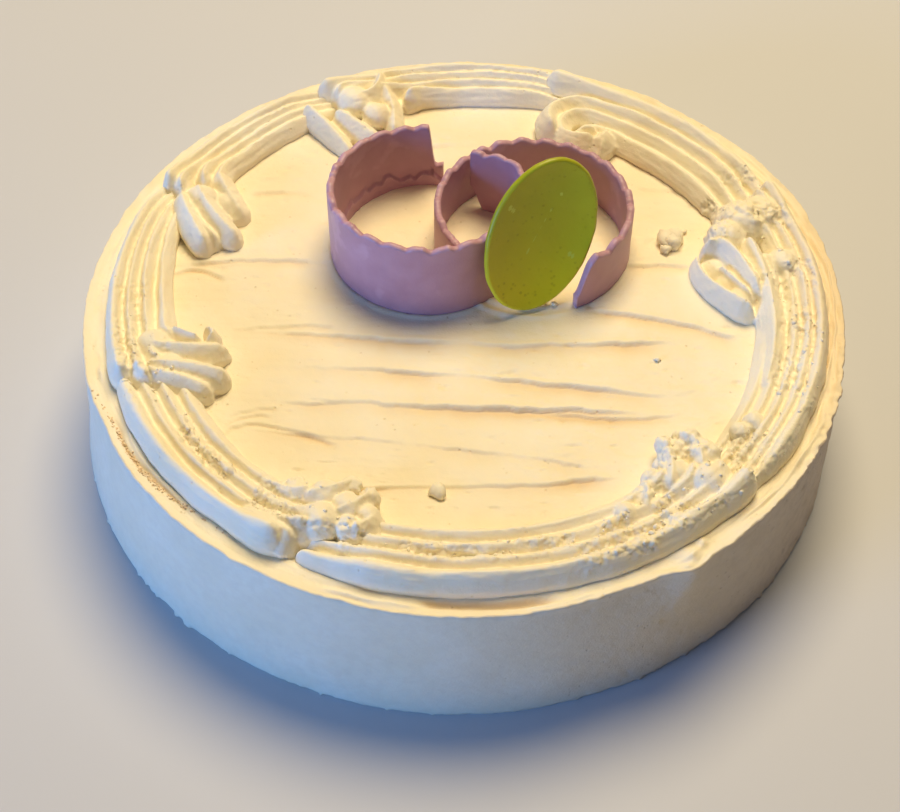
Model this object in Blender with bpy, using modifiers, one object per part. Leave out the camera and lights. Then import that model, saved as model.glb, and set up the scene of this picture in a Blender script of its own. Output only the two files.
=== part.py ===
"""Round cream-covered sponge cake with a piped border, two chocolate curls and a dished oval.

Metres, +Z up. The origin is on the flat underside, on the axis of the rim of the top.
Angles run counter-clockwise from +X, seen from above; the front of the cake faces -Y.
"""
import math

import bmesh
import bpy
import numpy as np

MM = 0.001
NAME = "sponge_cake"
GAP = 0.3 * MM                      # clearance between pieces that touch
SHARP_DEGREES = 40.0                # edges sharper than this stay sharp in the shading
SLIVER = 0.02 * MM                  # edges shorter than this are dissolved
WELD = 0.1 * MM                     # points of the turned body closer than this are joined

# --- cake body -------------------------------------------------------------
RIM_RADIUS = 120.0 * MM             # outer edge of the flat band round the top
FOOT_RADIUS = 123.3 * MM            # the side flares out to the foot
FOOT_OFFSET = (-2.7 * MM, 0.35 * MM)  # the foot isn't quite under the rim
RIM_HEIGHT = 47.0 * MM
TOP_HEIGHT = 44.0 * MM              # flat top inside the band
BAND_WIDTH = 5.5 * MM               # flat band between the rim and the border
BAND_DIP = 0.9 * MM
VALLEY_RADIUS = 112.9 * MM          # foot of the band's inner slope
BODY_SEGMENTS = 88
DENT_FOOT = 0.45                    # the dents of the rim fade out at this share of its height
DENT_REACH = 0.5
RIM_DENTS = (                       # angle, half width in degrees, inward depth
    (291.0, 9.0, 1.5 * MM),
    (206.0, 4.0, 0.9 * MM),
    (301.0, 2.6, -1.8 * MM),
    (46.0, 8.0, 0.9 * MM),
    (352.0, 22.0, 1.7 * MM),
)

# --- steps that the spreading knife left in the top -------------------------
STEP_DEPTH = 0.8 * MM
STEP_RUN = 7.0 * MM                 # how far the surface takes to rise again
STEP_STATIONS = 9
CUTTER_LIFT = 0.6 * MM              # the cutters stand this far above the top
CUTTER_BACK = 0.3 * MM              # and reach this far behind the step
CUTTER_END = 0.04                   # the ends keep the depth of this share of the length
KNIFE_STEPS = (                     # x start, x end, y start, y end, bow toward the front
    (-73.0, -50.0, 52.0, 52.0, 0.0),
    (58.0, 73.0, 54.0, 53.0, 0.0),
    (-92.0, -48.0, 17.0, 19.0, -1.5),
    (38.0, 86.0, -2.0, -15.0, -1.0),
    (-71.0, 71.0, -12.0, -18.0, 2.0),
    (-64.0, 65.0, -27.0, -40.0, -3.0),
    (-60.0, 59.0, -41.0, -46.0, -1.0),
    (-66.0, 38.0, -52.0, -67.0, -2.0),
    (-50.0, 30.0, -74.0, -73.0, 1.5),
)

# --- piped border ------------------------------------------------------------
BORDER_OUTER = 112.6 * MM           # outer foot of the piped ridges
RIDGE_BASE = TOP_HEIGHT + GAP
RIDGE_TOP = 53.2 * MM               # crest of the outermost ridge
RIDGE_FALL = 0.9 * MM               # each ridge further in is this much lower
RIDGE_OVERLAP = 0.68                # half width of a ridge, as a share of the pitch between ridges
RIDGE_DEPTH = 2.0 * MM              # ridges start this far below the base and are cut level
CREST_POWER = 1.3                   # 2 is a round crest, 1 a sharp one
OUTER_CREST_POWER = 1.9             # the outermost ridge is rounder
FLANK_POWER = 0.45                  # the lower half has nearly upright flanks
NOSE_LENGTH = 5.5 * MM              # rounded end of a ridge
TIP_LENGTH = 5.0 * MM               # rounded start of a ridge, at its tail
NOSE_SWELL = 0.14                   # a ridge swells by this share before its nose
SWELL_BACK = 8.0 * MM               # this far behind the nose
SWELL_LENGTH = 5.0 * MM
END_CREST = 0.15                    # height left at the very end of a ridge, as a share
FOLD_CREST = 0.35                   # and at the end of a fold
HEAD_WIDENING = 0.1
NOSE_RISE = 0.2                     # share of a head's rise that is left at its nose
END_ROUNDNESS = 0.02                # least square of an end's roundness, so that no ring closes up
HEAD_LENGTH = 22.0 * MM             # over which the ribbon rises to its head
TAIL_LENGTH = 24.0 * MM             # over which the tail widens
TAIL_WIDTH = 0.62                   # width of the tail's tip, as a share
FOLD_END = 4.0 * MM                 # rounded ends of a fold
RIDGE_LEAST_WIDTH = 4.4 * MM
RIDGE_SHIFT = 0.6                   # middle of the outermost ridge, in pitches from the outer foot
HEAD_RISE = 3.0 * MM                # the heads stand higher than the ribbons
RING_SIDES = 14
PATH_POINTS = 40
PATH_STEP = 1.6 * MM
BORDER_VOXEL = 1.15 * MM
SWAG_TRIANGLES = 1000
# Each swag is a ribbon of ridges piped from its head towards smaller angles. A ridge, counted from
# the outside, starts to bend inward at an angle, turns by so many degrees on a bend radius in mm,
# and runs straight on to its nose for its reach in mm. A lump is an angle, a distance from the axis,
# a radius and the height of its top. A fold runs through three places: angle and distance of each,
# then its half width and the height of its crest at each, in mm.
SWAGS = (
    dict(tail=20.0, tail_inner=90.5, head_inner=90.0,
         ridges=((72.0, 8, 20, 3), (64.0, 150, 11.5, 1), (63.0, 235, 8, 1), (60.0, 330, 4.4, 0)),
         lumps=(),
         folds=((63, 82, 62, 88, 58.5, 89.5, 2.6, 2.6, 2.2, 51.0, 52.5, 52.0),
                (59, 88.5, 56.5, 85.5, 55.5, 80, 2.2, 2.4, 1.8, 52.5, 52.0, 49.5))),
    dict(tail=-46.0, tail_inner=94.0, head_inner=92.0,
         ridges=((24.0, 5, 20, 3), (22.0, 20, 12, 3), (14.0, 60, 10, 5), (6.0, 35, 8, 3), (1.0, 20, 12, 2)),
         lumps=((20.0, 103.0, 8.5, 55.0), (19.5, 95.5, 9.0, 56.0), (16.0, 88.0, 7.0, 55.0),
                (7.0, 102.0, 6.0, 53.8), (9.0, 80.5, 5.0, 49.4), (4.5, 85.0, 5.5, 49.8),
                (359.5, 87.0, 4.6, 50.4)),
         folds=((12.5, 76, 3.5, 77, 354.5, 90.5, 1.8, 2.4, 3.6, 51.5, 51.2, 53.2),
                (12.5, 78, 11, 86, 357, 92.5, 2.6, 3.6, 3.6, 54.0, 55.0, 53.8),
                (8, 81.5, 4, 84, 357, 90.5, 1.2, 1.6, 1.8, 51.2, 51.8, 52.6),
                (14, 93, 354, 95.5, 335, 97.5, 3.6, 4.0, 2.0, 55.0, 53.4, 51.0))),
    dict(tail=244.0, tail_inner=92.0, head_inner=91.5,
         ridges=((314.0, 10, 20, 5), (311.0, 45, 10, 4), (308.0, 45, 8, 4), (304.0, 40, 8, 3)),
         lumps=((312.0, 102.0, 5.5, 55.0), (315.5, 95.0, 5.0, 54.5), (309.0, 94.0, 5.0, 53.5),
                (316.0, 86.5, 3.2, 51.5), (312.0, 85.0, 3.0, 52.6), (316.5, 88.5, 3.2, 53.6),
                (305.0, 91.0, 3.2, 52.0), (324.5, 97.5, 3.2, 51.4), (327.5, 99.5, 3.8, 51.8),
                (297.0, 97.5, 3.2, 52.4),
                (313.4, 88.6, 4.8, 52.4)),
         folds=((305, 98, 309, 92, 311.5, 84.5, 4.2, 4.0, 2.8, 53.5, 54.0, 52.5),
                (311, 100, 315, 94, 316.5, 87, 4.2, 3.8, 2.8, 54.0, 54.5, 53.0),
                (299, 100, 302, 95, 303, 89.5, 3.0, 3.0, 2.4, 52.5, 52.5, 50.5),
                (300, 106, 307, 109, 314, 108, 3.0, 3.6, 3.0, 52.5, 54.0, 53.0))),
    dict(tail=194.0, tail_inner=91.5, head_inner=92.5,
         ridges=((241.0, 4, 20, 2), (240.0, 40, 12, 3), (240.0, 45, 9, 5), (237.0, 45, 7, 5)),
         lumps=((245.5, 99.0, 6.0, 55.0), (248.5, 92.0, 5.0, 54.0), (243.5, 90.0, 5.0, 53.5),
                (238.0, 92.0, 4.0, 52.0), (246.8, 84.0, 3.2, 52.0), (251.3, 86.5, 3.2, 52.2),
                (252.5, 92.5, 3.4, 52.8), (250.0, 98.0, 3.4, 53.4)),
         folds=((240, 95, 245, 88, 247, 81.5, 4.2, 4.0, 2.8, 53.5, 53.8, 51.0),
                (246, 98, 250, 91, 251, 83.5, 3.6, 3.8, 2.8, 53.5, 54.0, 51.5),
                (249, 102, 253, 96, 253.5, 89.5, 3.2, 3.6, 2.8, 52.5, 53.2, 50.5),
                (233, 107.5, 239, 107.5, 244, 107.5, 4.0, 5.2, 4.8, 53.2, 54.4, 52.6))),
    dict(tail=150.0, tail_inner=102.0, head_inner=92.0,
         ridges=((198.5, 6, 20, 3), (198.5, 40, 10, 2), (195.5, 45, 8, 3), (190.0, 45, 6, 3)),
         lumps=((193.5, 98.0, 6.5, 53.5), (199.0, 95.0, 4.5, 52.5)),
         folds=((190.5, 93.5, 193.5, 88, 196, 83.5, 2.2, 2.4, 2.4, 54.0, 53.8, 54.2),
                (196, 84, 194.5, 80, 191, 83, 2.2, 2.4, 2.0, 54.2, 53.2, 54.2),
                (193.5, 101, 197, 89, 198, 76, 4.0, 4.6, 2.6, 53.0, 53.8, 50.8),
                (198, 103, 202, 90, 206.5, 79.5, 3.8, 4.9, 3.8, 53.2, 53.8, 51.4),
                (199, 107, 203.5, 94.5, 208.5, 86.5, 3.4, 4.0, 3.6, 53.2, 53.2, 50.4))),
    dict(tail=114.0, tail_inner=102.5, head_inner=99.0,
         ridges=((151.0, 15, 15, 5), (150.0, 40, 12, 3), (146.0, 45, 9, 4), (142.5, 40, 12, 4)),
         lumps=((154.0, 97.5, 6.0, 54.0), (152.0, 90.0, 5.0, 51.5)),
         folds=((146, 101, 150.5, 90, 153.8, 81, 3.8, 4.4, 3.4, 53.0, 52.5, 49.5),
                (151.5, 102, 157.5, 89.5, 161, 77.5, 4.2, 4.8, 3.4, 54.0, 54.2, 50.0),
                (154.5, 105, 161, 94.5, 166, 86, 4.2, 4.6, 3.4, 53.5, 54.4, 51.0),
                (158, 99, 161.5, 90, 163.2, 83.5, 2.4, 2.8, 2.2, 53.5, 52.4, 50.0))),
    dict(tail=66.0, tail_inner=102.0, head_inner=99.0,
         ridges=((116.0, 8, 20, 2), (112.0, 40, 9, 3), (105.0, 40, 10, 3), (98.0, 40, 10, 3)),
         lumps=((112.5, 101.0, 6.5, 55.0), (109.5, 93.0, 5.0, 53.0)),
         folds=((122, 107, 120.5, 94, 119, 78.5, 3.0, 3.8, 2.6, 52.8, 51.4, 47.8),
                (117.5, 99, 114.7, 89, 110.5, 80.5, 3.8, 4.6, 3.4, 53.4, 52.0, 48.8),
                (107, 110, 105.5, 96, 107.5, 83, 3.4, 3.8, 2.8, 53.6, 52.0, 48.4),
                (105.5, 112, 109, 101, 116, 103.5, 3.2, 3.6, 3.2, 55.0, 54.8, 55.2))),
)
# Where one swag's head covers the next one's tail: the angle at the outside and at the inside.
JOINS = (
    (74.0, 75.5), (29.5, 24.0), (318.0, 322.5), (249.0, 254.0), (200.0, 212.0), (157.0, 166.0),
    (120.5, 121.0),
)
JOIN_INNER_RADIUS = 70.0 * MM
CELL_TOP = 80.0 * MM                # above every swag
CELL_ARC_POINTS = 13
CELL_SHRINK = 0.75 * GAP            # each cell stands back from a join by this much

# --- chocolate curls ---------------------------------------------------------
CURL_THICKNESS = 2.4 * MM
CURL_RADIUS = 30.8 * MM             # middle of the wall
SCALLOP_PITCH = 7.8 * MM
SCALLOP_DEPTH = 1.1 * MM
SCALLOP_LEVEL = 0.6                 # share of the wave that lies below the edge's height
CURL_STEP_DEGREES = 2.4
EDGE_CHAMFER = 0.5 * MM
LEFT_CENTRE = (-12.2 * MM, 27.0 * MM)
LEFT_START, LEFT_END = 54.0, -279.0  # runs clockwise from the flap to the torn back end
LEFT_TOP = 68.6 * MM
LEFT_FRONT_RISE = 3.0 * MM          # the wall is tallest at the front
FLAP_TUCK = 6.2 * MM                # the flap bends in past the other curl
TUCK_DEGREES = 14.0                 # from this angle on
FLAP_DROP = 1.5 * MM
FLAP_CUT_DEGREES = 40.0             # from here on its lower edge rises
FLAP_CUT_RISE = 9.0 * MM
BACK_DROP = 15.5 * MM               # the torn back end steps down to a low tab
BACK_TAB_DEGREES = 5.0
BACK_STEP_DEGREES = 4.0
LEDGE_HEIGHT = 6.0 * MM             # ragged ledge round the inside of the back
LEDGE_DEPTH = 1.0 * MM
LEDGE_BEVEL = 0.4 * MM
LEDGE_CLEARANCE = 1.0 * MM          # the ledge stays this far below the edge
LEDGE_DEGREES = 95.0                # it runs this far round from the back end
LEDGE_FADE_DEGREES = 25.0
RIGHT_CENTRE = (21.7 * MM, 27.0 * MM)
RIGHT_START, RIGHT_END = -66.0, 227.0
RIGHT_TOP = 62.6 * MM
SLANT_DROP = 14.0 * MM              # its front end is cut at a slant
SLANT_DEGREES = 9.0

# --- dished oval -------------------------------------------------------------
OVAL_CENTRE = (22.8 * MM, 4.1 * MM, 69.6 * MM)
OVAL_HALF_LENGTH = 26.2 * MM
OVAL_HALF_WIDTH = 17.9 * MM
OVAL_THICKNESS = 2.3 * MM
OVAL_DISH = 3.4 * MM
DISH_POWER = 2.4                    # 2 is an even bowl, more is a flatter middle
OVAL_YAW, OVAL_LEAN, OVAL_ROLL = 20.0, 13.5, 19.5
OVAL_RINGS = 5
OVAL_SEGMENTS = 40

COLOURS = {
    "cream": ((0.93, 0.84, 0.64, 1.0), 0.5),
    "piped_cream": ((0.94, 0.86, 0.67, 1.0), 0.45),
    "lilac_chocolate": ((0.30, 0.19, 0.28, 1.0), 0.42),
    "green_chocolate": ((0.33, 0.38, 0.03, 1.0), 0.4),
}


def clear_scene():
    for thing in list(bpy.data.objects):
        bpy.data.objects.remove(thing, do_unlink=True)


def make_collection(name):
    collection = bpy.data.collections.new(name)
    bpy.context.scene.collection.children.link(collection)
    return collection


def make_material(name):
    colour, roughness = COLOURS[name]
    material = bpy.data.materials.new(name)
    material.use_nodes = True
    shader = material.node_tree.nodes["Principled BSDF"]
    shader.inputs["Base Color"].default_value = colour
    shader.inputs["Roughness"].default_value = roughness
    return material


def add_object(name, mesh, collection, material=None):
    thing = bpy.data.objects.new(name, mesh)
    collection.objects.link(thing)
    if material is not None:
        mesh.materials.clear()
        mesh.materials.append(material)
        mesh.shade_smooth()
        mesh.set_sharp_from_angle(angle=math.radians(SHARP_DEGREES))
    return thing


def mesh_from(name, points, faces):
    mesh = bpy.data.meshes.new(name)
    mesh.from_pydata([tuple(p) for p in points], [], faces)
    mesh.update()
    return mesh


def baked(thing, name):
    """The object's mesh with its modifiers applied, triangulated, as its largest closed body."""
    bpy.context.view_layer.update()
    graph = bpy.context.evaluated_depsgraph_get()
    mesh = bpy.data.meshes.new_from_object(thing.evaluated_get(graph))
    bm = bmesh.new()
    bm.from_mesh(mesh)
    bmesh.ops.dissolve_degenerate(bm, edges=bm.edges, dist=SLIVER)
    bmesh.ops.triangulate(bm, faces=bm.faces)
    left = set(bm.verts)
    bodies = []
    while left:
        body = {left.pop()}
        edge_of_body = list(body)
        while edge_of_body:
            vert = edge_of_body.pop()
            for edge in vert.link_edges:
                other = edge.other_vert(vert)
                if other in left:
                    left.discard(other)
                    body.add(other)
                    edge_of_body.append(other)
        bodies.append(body)
    bodies.sort(key=len)
    for body in bodies[:-1]:
        bmesh.ops.delete(bm, geom=list(body), context="VERTS")
    bmesh.ops.recalc_face_normals(bm, faces=bm.faces)
    bm.to_mesh(mesh)
    bm.free()
    mesh.name = name
    bpy.data.objects.remove(thing, do_unlink=True)
    return mesh


def add_boolean(thing, operation, cutter):
    modifier = thing.modifiers.new(operation.lower(), "BOOLEAN")
    modifier.operation = operation
    modifier.solver = "EXACT"
    modifier.object = cutter


def smooth(t):
    t = np.clip(t, 0.0, 1.0)
    return t * t * (3.0 - 2.0 * t)


def polar(radius, degrees):
    angle = np.radians(degrees)
    return radius * np.cos(angle), radius * np.sin(angle)


# --- the cake body ------------------------------------------------------------
def rim_dent(degrees):
    """How far the wall stands in from a true circle at an angle."""
    depth = np.zeros_like(degrees)
    for centre, half_width, amount in RIM_DENTS:
        away = (degrees - centre + 180.0) % 360.0 - 180.0
        depth = depth + amount * np.exp(-(away / half_width) ** 2)
    return depth


def body_profile():
    """Half outline of the cake, from the axis at the top, over the rim, down to the foot."""
    band_inner = RIM_RADIUS - BAND_WIDTH
    return (
        (0.0, TOP_HEIGHT),
        (VALLEY_RADIUS * 0.4, TOP_HEIGHT),
        (VALLEY_RADIUS * 0.75, TOP_HEIGHT),
        (VALLEY_RADIUS, TOP_HEIGHT),
        (VALLEY_RADIUS + 0.9 * MM, TOP_HEIGHT + 1.2 * MM),
        (band_inner, RIM_HEIGHT - BAND_DIP),
        (RIM_RADIUS - 1.6 * MM, RIM_HEIGHT - 0.2 * MM),
        (RIM_RADIUS - 0.5 * MM, RIM_HEIGHT),
        (RIM_RADIUS, RIM_HEIGHT - 0.6 * MM),
        (RIM_RADIUS - 0.2 * MM, RIM_HEIGHT - 3.0 * MM),
        (RIM_RADIUS + 0.6 * MM, RIM_HEIGHT * 0.5),
        (FOOT_RADIUS - 1.2 * MM, 7.0 * MM),
        (FOOT_RADIUS - 0.4 * MM, 1.6 * MM),
        (FOOT_RADIUS - 0.8 * MM, 0.0),
        (0.0, 0.0),
    )


def make_body(parts, cutters, material):
    profile = body_profile()
    points = [(radius, 0.0, height) for radius, height in profile]
    edges = [(i, i + 1) for i in range(len(points) - 1)]
    mesh = bpy.data.meshes.new("body_profile")
    mesh.from_pydata(points, edges, [])
    turned = add_object("body_profile", mesh, cutters)
    screw = turned.modifiers.new("turn", "SCREW")
    screw.angle = math.tau
    screw.steps = BODY_SEGMENTS
    screw.render_steps = BODY_SEGMENTS
    screw.use_merge_vertices = True
    screw.merge_threshold = WELD
    screw.use_normal_calculate = True
    mesh = baked(turned, "body")

    count = len(mesh.vertices)
    place = np.empty(count * 3)
    mesh.vertices.foreach_get("co", place)
    place = place.reshape(count, 3)
    radius = np.hypot(place[:, 0], place[:, 1])
    degrees = np.degrees(np.arctan2(place[:, 1], place[:, 0]))
    outer = smooth((radius - VALLEY_RADIUS) / (RIM_RADIUS - BAND_WIDTH - VALLEY_RADIUS))
    outer = outer * smooth((place[:, 2] / RIM_HEIGHT - DENT_FOOT) / DENT_REACH)
    scale = 1.0 - rim_dent(degrees) * outer / np.maximum(radius, WELD)
    place[:, 0] *= scale
    place[:, 1] *= scale
    drop = np.clip(1.0 - place[:, 2] / RIM_HEIGHT, 0.0, 1.0)
    place[:, 0] += FOOT_OFFSET[0] * drop
    place[:, 1] += FOOT_OFFSET[1] * drop
    mesh.vertices.foreach_set("co", place.ravel())
    mesh.update()
    body = add_object("uncut_body", mesh, cutters)
    for index, step in enumerate(KNIFE_STEPS):
        add_boolean(body, "DIFFERENCE", knife_cutter(index, step, cutters))
    cake = add_object("cake", baked(body, "cake"), parts, material)
    return cake


def knife_cutter(index, step, cutters):
    """A shallow wedge: full depth along the step, rising to nothing towards the front."""
    x_start, x_end, y_start, y_end, bow = (value * MM for value in step)
    points = []
    for i in range(STEP_STATIONS):
        t = i / (STEP_STATIONS - 1)
        fade = math.sin(math.pi * min(max(t, CUTTER_END), 1.0 - CUTTER_END)) ** 0.5
        x = x_start + (x_end - x_start) * t
        y = y_start + (y_end - y_start) * t - bow * math.sin(math.pi * t)
        depth = STEP_DEPTH * fade
        run = STEP_RUN * fade
        top = TOP_HEIGHT + CUTTER_LIFT
        points.append((x, y, TOP_HEIGHT - depth))
        points.append((x, y - run, TOP_HEIGHT))
        points.append((x, y - run, top))
        points.append((x, y + CUTTER_BACK, top))
    faces = [(0, 1, 2, 3), tuple(4 * (STEP_STATIONS - 1) + j for j in (3, 2, 1, 0))]
    for i in range(STEP_STATIONS - 1):
        for j in range(4):
            a, b = 4 * i + j, 4 * i + (j + 1) % 4
            faces.append((b, a, a + 4, b + 4))
    cutter = add_object("knife_step_%d" % (index + 1), mesh_from("knife_step", points, faces), cutters)
    cutter.hide_render = True
    cutter.display_type = "WIRE"
    return cutter


# --- the piped border ----------------------------------------------------------
def ridge_path(swag, k):
    """Plan line of ridge k from its tail to its nose, with its distance along, in metres."""
    start, turn, bend, reach = swag["ridges"][k]
    across = (k + RIDGE_SHIFT) / len(swag["ridges"])
    tail_radius = BORDER_OUTER - across * (BORDER_OUTER - swag["tail_inner"] * MM)
    head_radius = BORDER_OUTER - across * (BORDER_OUTER - swag["head_inner"] * MM)
    t = np.linspace(0.0, 1.0, PATH_POINTS)
    degrees = swag["tail"] + (start - swag["tail"]) * t
    radius = tail_radius + (head_radius - tail_radius) * smooth(t)
    x, y = polar(radius, degrees)

    turn = math.radians(turn)
    bend = bend * MM
    reach = reach * MM
    s = np.linspace(0.0, turn * bend + reach, PATH_POINTS)[1:]
    heading = math.atan2(y[-1] - y[-2], x[-1] - x[-2]) + np.minimum(s / bend, turn)
    step = np.diff(np.concatenate([[0.0], s]))
    x = np.concatenate([x, x[-1] + np.cumsum(np.cos(heading) * step)])
    y = np.concatenate([y, y[-1] + np.cumsum(np.sin(heading) * step)])
    along = np.concatenate([[0.0], np.cumsum(np.hypot(np.diff(x), np.diff(y)))])
    even = np.linspace(0.0, along[-1], int(along[-1] / PATH_STEP) + 2)
    return np.interp(even, along, x), np.interp(even, along, y), even


def pinched_tube(x, y, half_width, low, crest, end, crest_power=CREST_POWER):
    """Closed tube along a plan line: nearly upright flanks, a narrow crest, rounder at its ends."""
    heading = np.arctan2(np.gradient(y), np.gradient(x))
    ring = np.arange(RING_SIDES) * math.tau / RING_SIDES
    across, up = np.cos(ring), np.sin(ring)
    power = 1.0 - (1.0 - FLANK_POWER) * end[:, None]
    flank = np.sign(across) * np.abs(across) ** power
    side = np.where(up < 0.0, flank, across)
    lift = np.where(up > 0.0, 1.0 - np.abs(across) ** crest_power, up)
    half_height = 0.5 * (crest - low)
    px = x[:, None] - np.sin(heading)[:, None] * half_width[:, None] * side
    py = y[:, None] + np.cos(heading)[:, None] * half_width[:, None] * side
    pz = low + half_height[:, None] * (1.0 + lift)
    points = np.stack([px, py, pz], -1).reshape(-1, 3)
    return points, tube_faces(len(x), RING_SIDES)


def rounded_end(distance, length):
    """0 at an end, 1 from a length on, along a quarter circle."""
    short = (1.0 - distance / length).clip(0.0, 1.0)
    return np.sqrt(np.clip(1.0 - short ** 2, END_ROUNDNESS, 1.0))


def ridge_tube(swag, k):
    """Ridge k of a swag: it widens from its tail, stands higher at the head and ends rounded."""
    x, y, along = ridge_path(swag, k)
    inner = 0.5 * (swag["tail_inner"] + swag["head_inner"]) * MM
    width = max((BORDER_OUTER - inner) / len(swag["ridges"]), RIDGE_LEAST_WIDTH)
    from_nose = along[-1] - along
    head = 1.0 - smooth(from_nose / HEAD_LENGTH)
    nose = rounded_end(from_nose, NOSE_LENGTH)
    tip = rounded_end(along, TIP_LENGTH)
    swell = 1.0 + NOSE_SWELL * np.exp(-((from_nose - SWELL_BACK) / SWELL_LENGTH) ** 2)
    tail = TAIL_WIDTH + (1.0 - TAIL_WIDTH) * smooth(along / TAIL_LENGTH)
    half_width = RIDGE_OVERLAP * width * (1.0 + HEAD_WIDENING * head) * swell * nose * tip * tail
    low = RIDGE_BASE - RIDGE_DEPTH
    full = RIDGE_TOP - k * RIDGE_FALL + HEAD_RISE * head * (NOSE_RISE + (1.0 - NOSE_RISE) * nose)
    crest = low + (full - low) * (END_CREST + (1.0 - END_CREST) * nose * tip * tail)
    power = OUTER_CREST_POWER if k == 0 else CREST_POWER
    return pinched_tube(x, y, half_width, low, crest, nose * tip, power)


def through_three(first, middle, last, t):
    """Values along the parabola that passes three values at t = 0, 0.5 and 1."""
    control = 2.0 * middle - 0.5 * (first + last)
    return first * (1.0 - t) ** 2 + 2.0 * control * t * (1.0 - t) + last * t ** 2


def fold_tube(fold):
    """A fold of a head: a pinched tube with rounded ends on a bowed line through three places."""
    a0, r0, a1, r1, a2, r2, w0, w1, w2, z0, z1, z2 = fold
    places = np.array([polar(r * MM, a) for a, r in ((a0, r0), (a1, r1), (a2, r2))])
    length = np.linalg.norm(places[1] - places[0]) + np.linalg.norm(places[2] - places[1])
    t = np.linspace(0.0, 1.0, int(length / PATH_STEP) + 2)
    x = through_three(places[0, 0], places[1, 0], places[2, 0], t)
    y = through_three(places[0, 1], places[1, 1], places[2, 1], t)
    end = rounded_end(length * np.minimum(t, 1.0 - t), FOLD_END)
    half_width = through_three(w0, w1, w2, t) * MM * end
    low = RIDGE_BASE - RIDGE_DEPTH
    crest = low + (through_three(z0, z1, z2, t) * MM - low) * (FOLD_CREST + (1.0 - FOLD_CREST) * end)
    return pinched_tube(x, y, half_width, low, crest, end)


def tube_faces(rings, sides):
    faces = [tuple(range(sides)), tuple(range(rings * sides - 1, (rings - 1) * sides - 1, -1))]
    for i in range(rings - 1):
        for j in range(sides):
            a, b = i * sides + j, i * sides + (j + 1) % sides
            faces.append((b, a, a + sides, b + sides))
    return faces


def lump_ball(lump):
    """A rounded lump on a head: angle, distance from the axis, radius and height of its top, mm."""
    degrees, distance, radius, top = lump
    bm = bmesh.new()
    bmesh.ops.create_icosphere(bm, subdivisions=2, radius=radius * MM)
    x, y = polar(distance * MM, degrees)
    bmesh.ops.translate(bm, verts=bm.verts, vec=(float(x), float(y), (top - radius) * MM))
    points = [tuple(v.co) for v in bm.verts]
    faces = [tuple(v.index for v in f.verts) for f in bm.faces]
    bm.free()
    return np.array(points), faces


def join_pieces(pieces):
    points = []
    faces = []
    for some_points, some_faces in pieces:
        shift = sum(len(p) for p in points)
        points.append(some_points)
        faces.extend(tuple(i + shift for i in face) for face in some_faces)
    return np.concatenate(points), faces


def swag_cell(index, cutters):
    """The space that a swag may fill: between its two joins, above the top, inside the band."""
    upper = JOINS[index]
    lower = JOINS[(index + 1) % len(JOINS)]
    span = (upper[0] - lower[0]) % 360.0
    outline = []
    arc = np.linspace(lower[0], lower[0] + span, CELL_ARC_POINTS)
    arc_x, arc_y = polar(BORDER_OUTER, arc)
    outline.extend(zip(arc_x, arc_y))
    outline.append(polar(JOIN_INNER_RADIUS, upper[1]))
    outline.append(polar(JOIN_INNER_RADIUS, lower[1]))
    centre = np.mean(outline, axis=0)
    outline = [np.array(p) for p in outline]
    shrunk = []
    for i, point in enumerate(outline):
        before = outline[i - 1]
        after = outline[(i + 1) % len(outline)]
        along = (after - before) / np.linalg.norm(after - before)
        inward = np.array((-along[1], along[0]))
        if np.dot(inward, centre - point) < 0.0:
            inward = -inward
        shrunk.append(point + inward * CELL_SHRINK)
    count = len(shrunk)
    points = [(p[0], p[1], RIDGE_BASE) for p in shrunk] + [(p[0], p[1], CELL_TOP) for p in shrunk]
    faces = [tuple(range(count - 1, -1, -1)), tuple(range(count, 2 * count))]
    faces.extend((i, (i + 1) % count, (i + 1) % count + count, i + count) for i in range(count))
    cell = add_object("swag_cell_%d" % (index + 1), mesh_from("swag_cell", points, faces), cutters)
    cell.hide_render = True
    cell.display_type = "WIRE"
    return cell


def make_swag(index, parts, cutters, material):
    swag = SWAGS[index]
    pieces = [ridge_tube(swag, k) for k in range(len(swag["ridges"]))]
    pieces.extend(fold_tube(fold) for fold in swag["folds"])
    pieces.extend(lump_ball(lump) for lump in swag["lumps"])
    points, faces = join_pieces(pieces)
    rough = add_object("rough_swag", mesh_from("rough_swag", points, faces), cutters)
    remesh = rough.modifiers.new("fuse", "REMESH")
    remesh.mode = "VOXEL"
    remesh.voxel_size = BORDER_VOXEL
    fused = add_object("fused_swag", baked(rough, "fused_swag"), cutters)
    decimate = fused.modifiers.new("thin_out", "DECIMATE")
    decimate.ratio = SWAG_TRIANGLES / len(fused.data.polygons)
    thinned = add_object("thinned_swag", baked(fused, "thinned_swag"), cutters)
    add_boolean(thinned, "INTERSECT", swag_cell(index, cutters))
    name = "swag_%d" % (index + 1)
    return add_object(name, baked(thinned, name), parts, material)


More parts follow.
